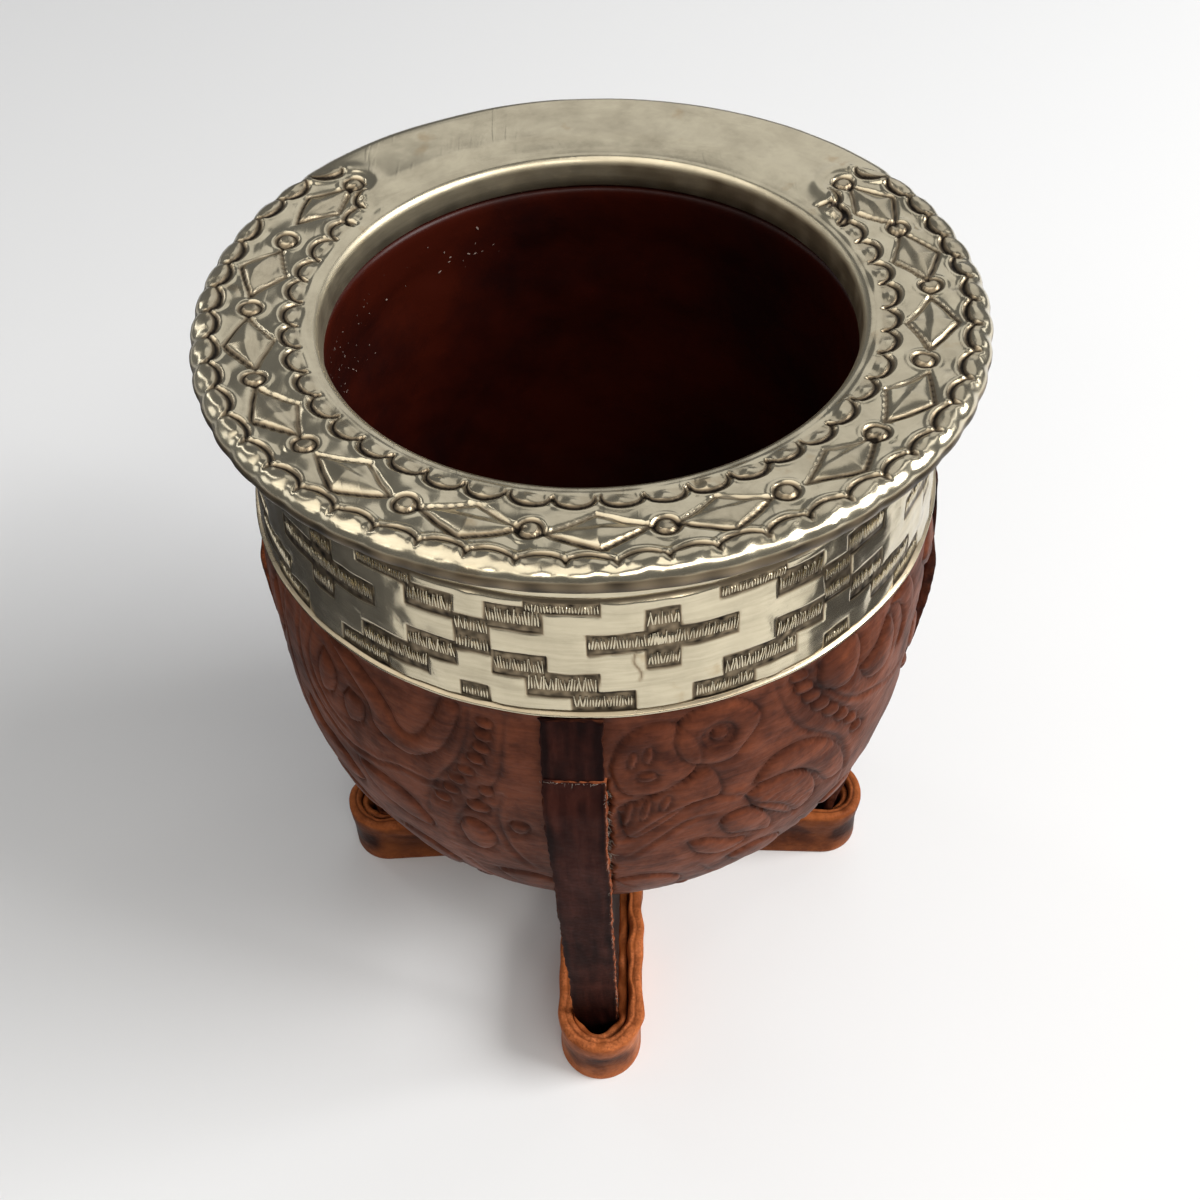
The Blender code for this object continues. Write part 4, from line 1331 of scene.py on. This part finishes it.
    def build_lining(self, finishes: Finishes, loop: np.ndarray, inward: np.ndarray, tip: np.ndarray,
                     right: np.ndarray) -> None:
        """The strip's inner ply, thin on the left of a lobe and thick on its right and at its tip."""
        thick, top = self.strip - 0.15, self.height - 1.3
        share = np.array([(0.0, 0.05), (0.0, 3.0), (0.0, 6.0), (0.0, top - 0.4), (0.2, top), (0.5, top + 0.1),
                          (0.8, top - 0.05), (1.0, top - 0.5), (1.0, 6.0), (1.0, 3.0), (1.0, 0.05)])
        ply = 0.35 + 0.95 * right ** 2 + 0.8 * tip * (1 - 0.5 * right)
        depth = thick + ply[None, :] * share[:, :1]
        flat = loop[None, :, :] + inward[None, :, :] * depth[..., None]
        places = np.concatenate([flat, (share[:, 1:] + 0 * ply)[..., None]], axis=-1)
        on_top = ease(share[:, 1:], top - 1.0, top)
        places[..., 2] -= on_top * (0.25 + 0.15 * ripple(places, 2.2, 61) + 0.45 * ripple(places, 8.0, 62)).clip(0, 2)
        places[..., :2] += inward[None] * (0.10 * ripple(places, 3.0, 63) * (share[:, :1] > 0.5))[..., None]
        raw = on_top * (0.35 + 0.35 * ripple(places, 2.5, 64))
        # The lining is darker towards its bottom and on its face against the strip
        dye_and_shade = 0.7 * (1 - ease(share[:, 1:], 3.0, top)) + 0.5 * (share[:, :1] < 0.1) + 0 * ply
        dress(self.swept("foot_lining", places, dye_and_shade, raw), finishes.foot, "foot_leather")

    def swept(self, name: str, places: np.ndarray, dye_and_shade: np.ndarray, raw: np.ndarray) -> bpy.types.Object:
        """Closed skin over a section that was swept up its outside first, turned round so that it faces outwards."""
        order = [*range(len(places))[::-1], len(places) - 1]
        marks = {Mark.DYE_AND_SHADE.value: np.clip(dye_and_shade, 0, 1)[order], Mark.RAW.value: np.clip(raw, 0, 1)[order]}
        return skin(name, places[order], True, marks)


@dataclass
class Strap:
    """One strap from under the ferrule to the toe of its lobe: a thin patch, then a thicker strap laid over it."""

    name: str
    direction: float
    reach: float
    cover: Cover
    thickness: float = 1.5
    gap: float = 0.3
    top: float = 88.5
    lap: float = 79.6
    free: float = 60.0
    end: float = 1.8
    toe_inset: float = 6.3
    top_width: float = 7.2
    toe_width: float = 5.8
    toe_flare: float = 0.7
    turn_top: float = -2.2
    turn_toe: float = -0.7

    def inner_radius(self, height: float) -> float:
        """Radius of the strap's inner face at a height, mm."""
        on_cover = self.cover.radius_at(height) + self.gap
        if height >= self.free:
            return on_cover
        start = self.cover.radius_at(self.free) + self.gap
        toe = self.reach - self.toe_inset - self.thickness
        straight = start + (toe - start) * (self.free - height) / (self.free - self.end)
        return max(straight, on_cover) if height > 12.8 else straight

    def strip(self, name: str, top: float, bottom: float, width: float, thick: float, seed: int,
              torn: float = 1.0) -> bpy.types.Object:
        """A strip of leather along the strap's path.

        Args:
            name: The piece's name.
            top: Its upper end, mm above the floor.
            bottom: Its lower end, mm above the floor.
            width: Its width at the strap's top, mm.
            thick: Its thickness, mm.
            seed: Number that fixes its unevenness.
            torn: How raw its edges are, from 0 to 1.

        Returns:
            The object.
        """
        stations = max(24, int((top - bottom) / 0.42)) + 2
        heights = np.concatenate([[top, top - 0.10], np.linspace(top - 0.28, bottom, stations - 2)])
        inner = np.array([self.inner_radius(h) for h in heights])
        inner = np.convolve(np.pad(inner, 6, mode="edge"), np.ones(13) / 13, mode="valid")
        share = (self.top - heights) / (self.top - self.end)
        wide = width + (self.toe_width + self.toe_flare - self.top_width) * share
        turn = np.radians(self.direction + self.turn_top + (self.turn_toe - self.turn_top) * share)
        corner = 0.28
        face = np.sin(np.linspace(-1, 1, 21) * math.pi / 2)
        side = np.concatenate([face, [1.0, 1.0], np.linspace(1, -1, 9), [-1.0, -1.0]])
        out = np.concatenate([[1 - corner], np.ones(19), [1 - corner], [0.6, 0.3, 0.1], np.zeros(7), [0.1, 0.3, 0.6]])
        thick = thick * (1 - 0.6 * torn * (1 - ease(top - heights, 0.0, 6.0)))[:, None]
        places = np.zeros((stations, len(side), 3))
        offset = side[None, :] * wide[:, None] / 2
        radius = inner[:, None] + thick * out[None, :]
        places[..., 0] = radius * np.cos(turn)[:, None] - offset * np.sin(turn)[:, None]
        places[..., 1] = radius * np.sin(turn)[:, None] + offset * np.cos(turn)[:, None]
        places[..., 2] = heights[:, None]
        at_edge = ease(np.abs(side), 0.93, 1.0)[None, :]
        rough = (0.12 * ripple(places, 1.5, seed) + 0.05 * ripple(places, 0.8, seed + 8)) * at_edge
        rough = rough + 0.10 * ripple(places, 12.0, seed + 1)
        sidewise = np.stack([-np.sin(turn), np.cos(turn)], axis=-1)[:, None, :]
        places[..., :2] += sidewise * (rough * np.sign(side)[None, :])[..., None]
        outward = np.stack([np.cos(turn), np.sin(turn)], axis=-1)[:, None, :]
        fibres = places * np.array([1.0, 1.0, 0.12])
        dent = (0.035 * ripple(fibres, 0.9, seed + 2) + 0.06 * ripple(places, 14.0, seed + 3)) * (out[None, :] > 0.9)
        crown = -0.10 * side[None, :] ** 4 * (out[None, :] > 0.9)
        places[..., :2] += outward * (dent + crown - 0.05)[..., None]
        drop = top - places[..., 2]
        bare = 0.5 + 0.5 * ripple(places, 2.8, seed + 6)
        # Raw colour is strong on the right edge and held back on the left one, as painted shade
        right = np.where(side > 0, 1.0, 0.18)[None, :]
        raw = at_edge * right * (0.25 + 0.75 * (out[None, :] < 0.9)) * (0.45 + 0.75 * bare)
        raw = torn * (raw + (drop < 0.05) * (bare > 0.35))
        near_edge = ease(np.abs(side), 0.72, 0.9)[None, :] * (1 - at_edge)
        # Darker near the edges and on the patch, and painted darker towards the foot as painted shade
        dye_and_shade = 0.22 + 0.3 * ripple(fibres, 1.3, seed + 4) + 0.2 * ripple(places, 12.0, seed + 7) + 0.5 * near_edge
        dye_and_shade = dye_and_shade + 0.5 * (1 - ease(places[..., 2], 6.0, 26.0)) + 0.35 * (1 - torn)
        places[:2, :, 2] += 0.24 * ripple(places[:1], 1.1, seed + 5)
        rows = np.concatenate([places[:1].mean(axis=1, keepdims=True) + 0 * places[:1], places,
                               places[-1:].mean(axis=1, keepdims=True) + 0 * places[-1:]])
        # The rows that close both ends take the marks of the rows beside them
        beside = np.r_[0, np.arange(stations), stations - 1]
        marks = {Mark.DYE_AND_SHADE.value: np.clip(dye_and_shade, 0, 1)[beside], Mark.RAW.value: np.clip(raw, 0, 1)[beside]}
        return skin(name, rows, True, marks)

    def build(self, finishes: Finishes, seed: int) -> None:
        """Make the patch and the strap over it."""
        patch = self.strip(f"strap_{self.name}_patch", self.top + 0.7, self.lap - 3.0, 7.0, 0.55, seed, torn=0.12)
        strap = self.strip(f"strap_{self.name}_strip", self.lap, self.end, self.top_width + 0.1, self.thickness,
                           seed + 20)
        for piece in (patch, strap):
            dress(piece, finishes.strap, "strap_leather", f"strap_{self.name}")

    def build_fibres(self, finishes: Finishes, fibres: Any) -> None:
        """Loose fibres along the open seam, the strap's right edge and the cut end of its upper lap."""
        seam_height = np.linspace(77.4, 53.0, 60)
        wander = 0.35 * ripple(np.stack([seam_height] * 3, axis=-1), 2.0, 91)
        seam_radius = np.array([self.cover.radius_at(h) for h in seam_height]) - 0.1
        seam = round_places(self.cover.seam + np.degrees(wander / 44.0), seam_radius, seam_height)
        edge_height = np.linspace(78.8, 14.0, 90)
        share = (self.top - edge_height) / (self.top - self.end)
        turn = self.direction + self.turn_top + (self.turn_toe - self.turn_top) * share
        half = (self.top_width + (self.toe_width + self.toe_flare - self.top_width) * share) / 2
        radius = np.array([self.inner_radius(h) for h in edge_height]) + self.thickness - 0.2
        edge = round_places(turn + np.degrees(half / radius), radius, edge_height)
        bearing = np.linspace(-1, 1, 20) * math.degrees(self.top_width / 2 / 44.0) + self.direction + self.turn_top
        lap = round_places(bearing, self.inner_radius(self.lap) + 0.75, self.lap - 0.1)
        for name, line, pitch, length in (("seam_fibres", seam, 0.16, 0.9), ("edge_fibres", edge, 0.5, 0.5),
                                          ("lap_fibres", lap, 0.4, 0.7)):
            piece = paths_object(name, [line], [1.0])
            grow(piece, fibres, {"Pitch": pitch * MM, "Length": length * MM, "Thickness": 0.028 * MM, "Seed": len(name),
                                 "Material": finishes.lint})
            dress(piece, finishes.lint, "strap_leather")


# The studio

@dataclass(frozen=True)
class Softbox:
    """One area light: its place and size in m, its watts and colour, and whether it lights matt surfaces too."""

    name: str
    spot: tuple[float, float, float]
    size: tuple[float, float]
    power: float
    tint: Colour = (1.0, 1.0, 1.0)
    fills: bool = True


@dataclass(frozen=True)
class Flag:
    """One dark card round a side of the cup, in degrees and mm, with its grey."""

    name: str
    start: float
    end: float
    tone: float
    reach: float = 118.0
    tall: float = 92.0


WARM = (1.0, 0.97, 0.92)


@dataclass
class Studio:
    """Plain pale floor, soft lights and the camera at the photograph's place."""

    lens: float = 37.53
    place: tuple[float, float, float] = (0.000141, -0.121955, 0.19732)
    pitch: float = 0.845977
    roll: float = -0.02841
    aim: tuple[float, float, float] = (0.0, 0.0, 0.08)
    flags: tuple[Flag, ...] = (Flag("left_flag", 92.0, 219.0, 0.09), Flag("right_flag", -36.0, -4.0, 0.16))
    lights: tuple[Softbox, ...] = (
        Softbox("front_softbox", (0.48, -0.76, 1.00), (1.50, 0.30), 8.0, WARM),
        Softbox("front_strip", (-0.62, -0.80, 0.86), (1.10, 0.18), 1.0, WARM),
        Softbox("over_softbox", (-0.42, -0.22, 1.15), (1.10, 1.15), 6.4, WARM, False),
        Softbox("right_softbox", (1.08, -0.12, 0.84), (0.70, 0.70), 19.0),
        Softbox("left_softbox", (-1.20, 0.20, 0.62), (0.40, 0.50), 0.8),
        Softbox("top_softbox", (0.23, 0.88, 0.80), (0.70, 1.00), 1.30),
        Softbox("left_strip", (-0.75, 0.62, 0.70), (0.10, 0.80), 0.7),
        Softbox("right_strip", (0.80, 0.58, 0.70), (0.10, 0.80), 0.5))

    def add_camera(self) -> None:
        """Camera with the photograph's view."""
        data = bpy.data.cameras.new("camera")
        data.lens, data.sensor_width = self.lens, 36.0
        data.clip_start, data.clip_end = 0.005, 20.0
        camera = bpy.data.objects.new("camera", data)
        ahead = Vector((0.0, math.cos(self.pitch), -math.sin(self.pitch)))
        across = Vector((1.0, 0.0, 0.0))
        up = across.cross(ahead)
        right = math.cos(self.roll) * across + math.sin(self.roll) * up
        above = -math.sin(self.roll) * across + math.cos(self.roll) * up
        matrix = Matrix((right, above, -ahead)).transposed().to_4x4()
        matrix.translation = Vector(self.place)
        camera.matrix_world = matrix
        bpy.context.scene.collection.objects.link(camera)
        bpy.context.scene.camera = camera

    def add_softbox(self, box: Softbox) -> None:
        """Area light that faces the cup."""
        data = bpy.data.lights.new(box.name, "AREA")
        data.shape, data.size, data.size_y = "RECTANGLE", *box.size
        data.energy, data.color = box.power, box.tint
        light = bpy.data.objects.new(box.name, data)
        light.location = box.spot
        light.visible_diffuse = box.fills
        light.rotation_euler = (Vector(self.aim) - Vector(box.spot)).to_track_quat("-Z", "Y").to_euler()
        bpy.context.scene.collection.objects.link(light)

    def add_floor(self) -> None:
        """Pale floor under the cup."""
        far, level = 3000.0, -0.02
        places = np.array([(-far, -far, level), (far, -far, level), (far, far, level), (-far, far, level)])
        floor = new_mesh("floor", places, np.array([[0, 1, 2, 3]]))
        floor.data.materials.append(Matt("pale_floor", (0.80, 0.80, 0.80), 0.6).make())

    def add_flag(self, flag: Flag) -> None:
        """Dark card, seen only as a reflection in the metal, as in a product studio."""
        steps = 12
        bearing = np.linspace(flag.start, flag.end, steps + 1)
        places = np.concatenate([round_places(bearing, flag.reach, height) for height in (1.0, flag.tall)])
        faces = np.array([[step, step + 1, step + steps + 2, step + steps + 1] for step in range(steps)])
        card = new_mesh(flag.name, places, faces)
        card.data.materials.append(Matt(flag.name, (flag.tone, flag.tone, flag.tone * 1.05), 0.9).make())
        card.visible_camera = card.visible_diffuse = card.visible_shadow = card.visible_transmission = False

    def build(self) -> None:
        """Set the stage."""
        self.add_camera()
        self.add_floor()
        for flag in self.flags:
            self.add_flag(flag)
        for box in self.lights:
            self.add_softbox(box)
        world = bpy.data.worlds.new("studio")
        world.use_nodes = True
        background = world.node_tree.nodes["Background"]
        background.inputs["Color"].default_value = (0.80, 0.82, 0.85, 1.0)
        background.inputs["Strength"].default_value = 0.22
        bpy.context.scene.world = world
        bpy.context.scene.view_settings.view_transform = "Standard"


def main() -> None:
    """Build the studio and the cup."""
    logging.basicConfig(level=logging.INFO, format="%(message)s", stream=sys.stdout)
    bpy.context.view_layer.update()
    Studio().build()
    finishes = Finishes.make()
    slivers, fibres, flecks = sliver_tree(), fibre_tree(), fleck_tree()
    Ferrule().build(finishes, slivers)
    Gourd().build(finishes, flecks)
    cover = Cover()
    cover.build(finishes)
    foot = Foot()
    foot.build(finishes)
    for index, (name, direction, reach) in enumerate(foot.lobes):
        strap = Strap(name, direction, reach, cover)
        strap.build(finishes, 100 + 40 * index)
        if name == "front":
            strap.build_fibres(finishes, fibres)


if __name__ == "__main__":
    main()
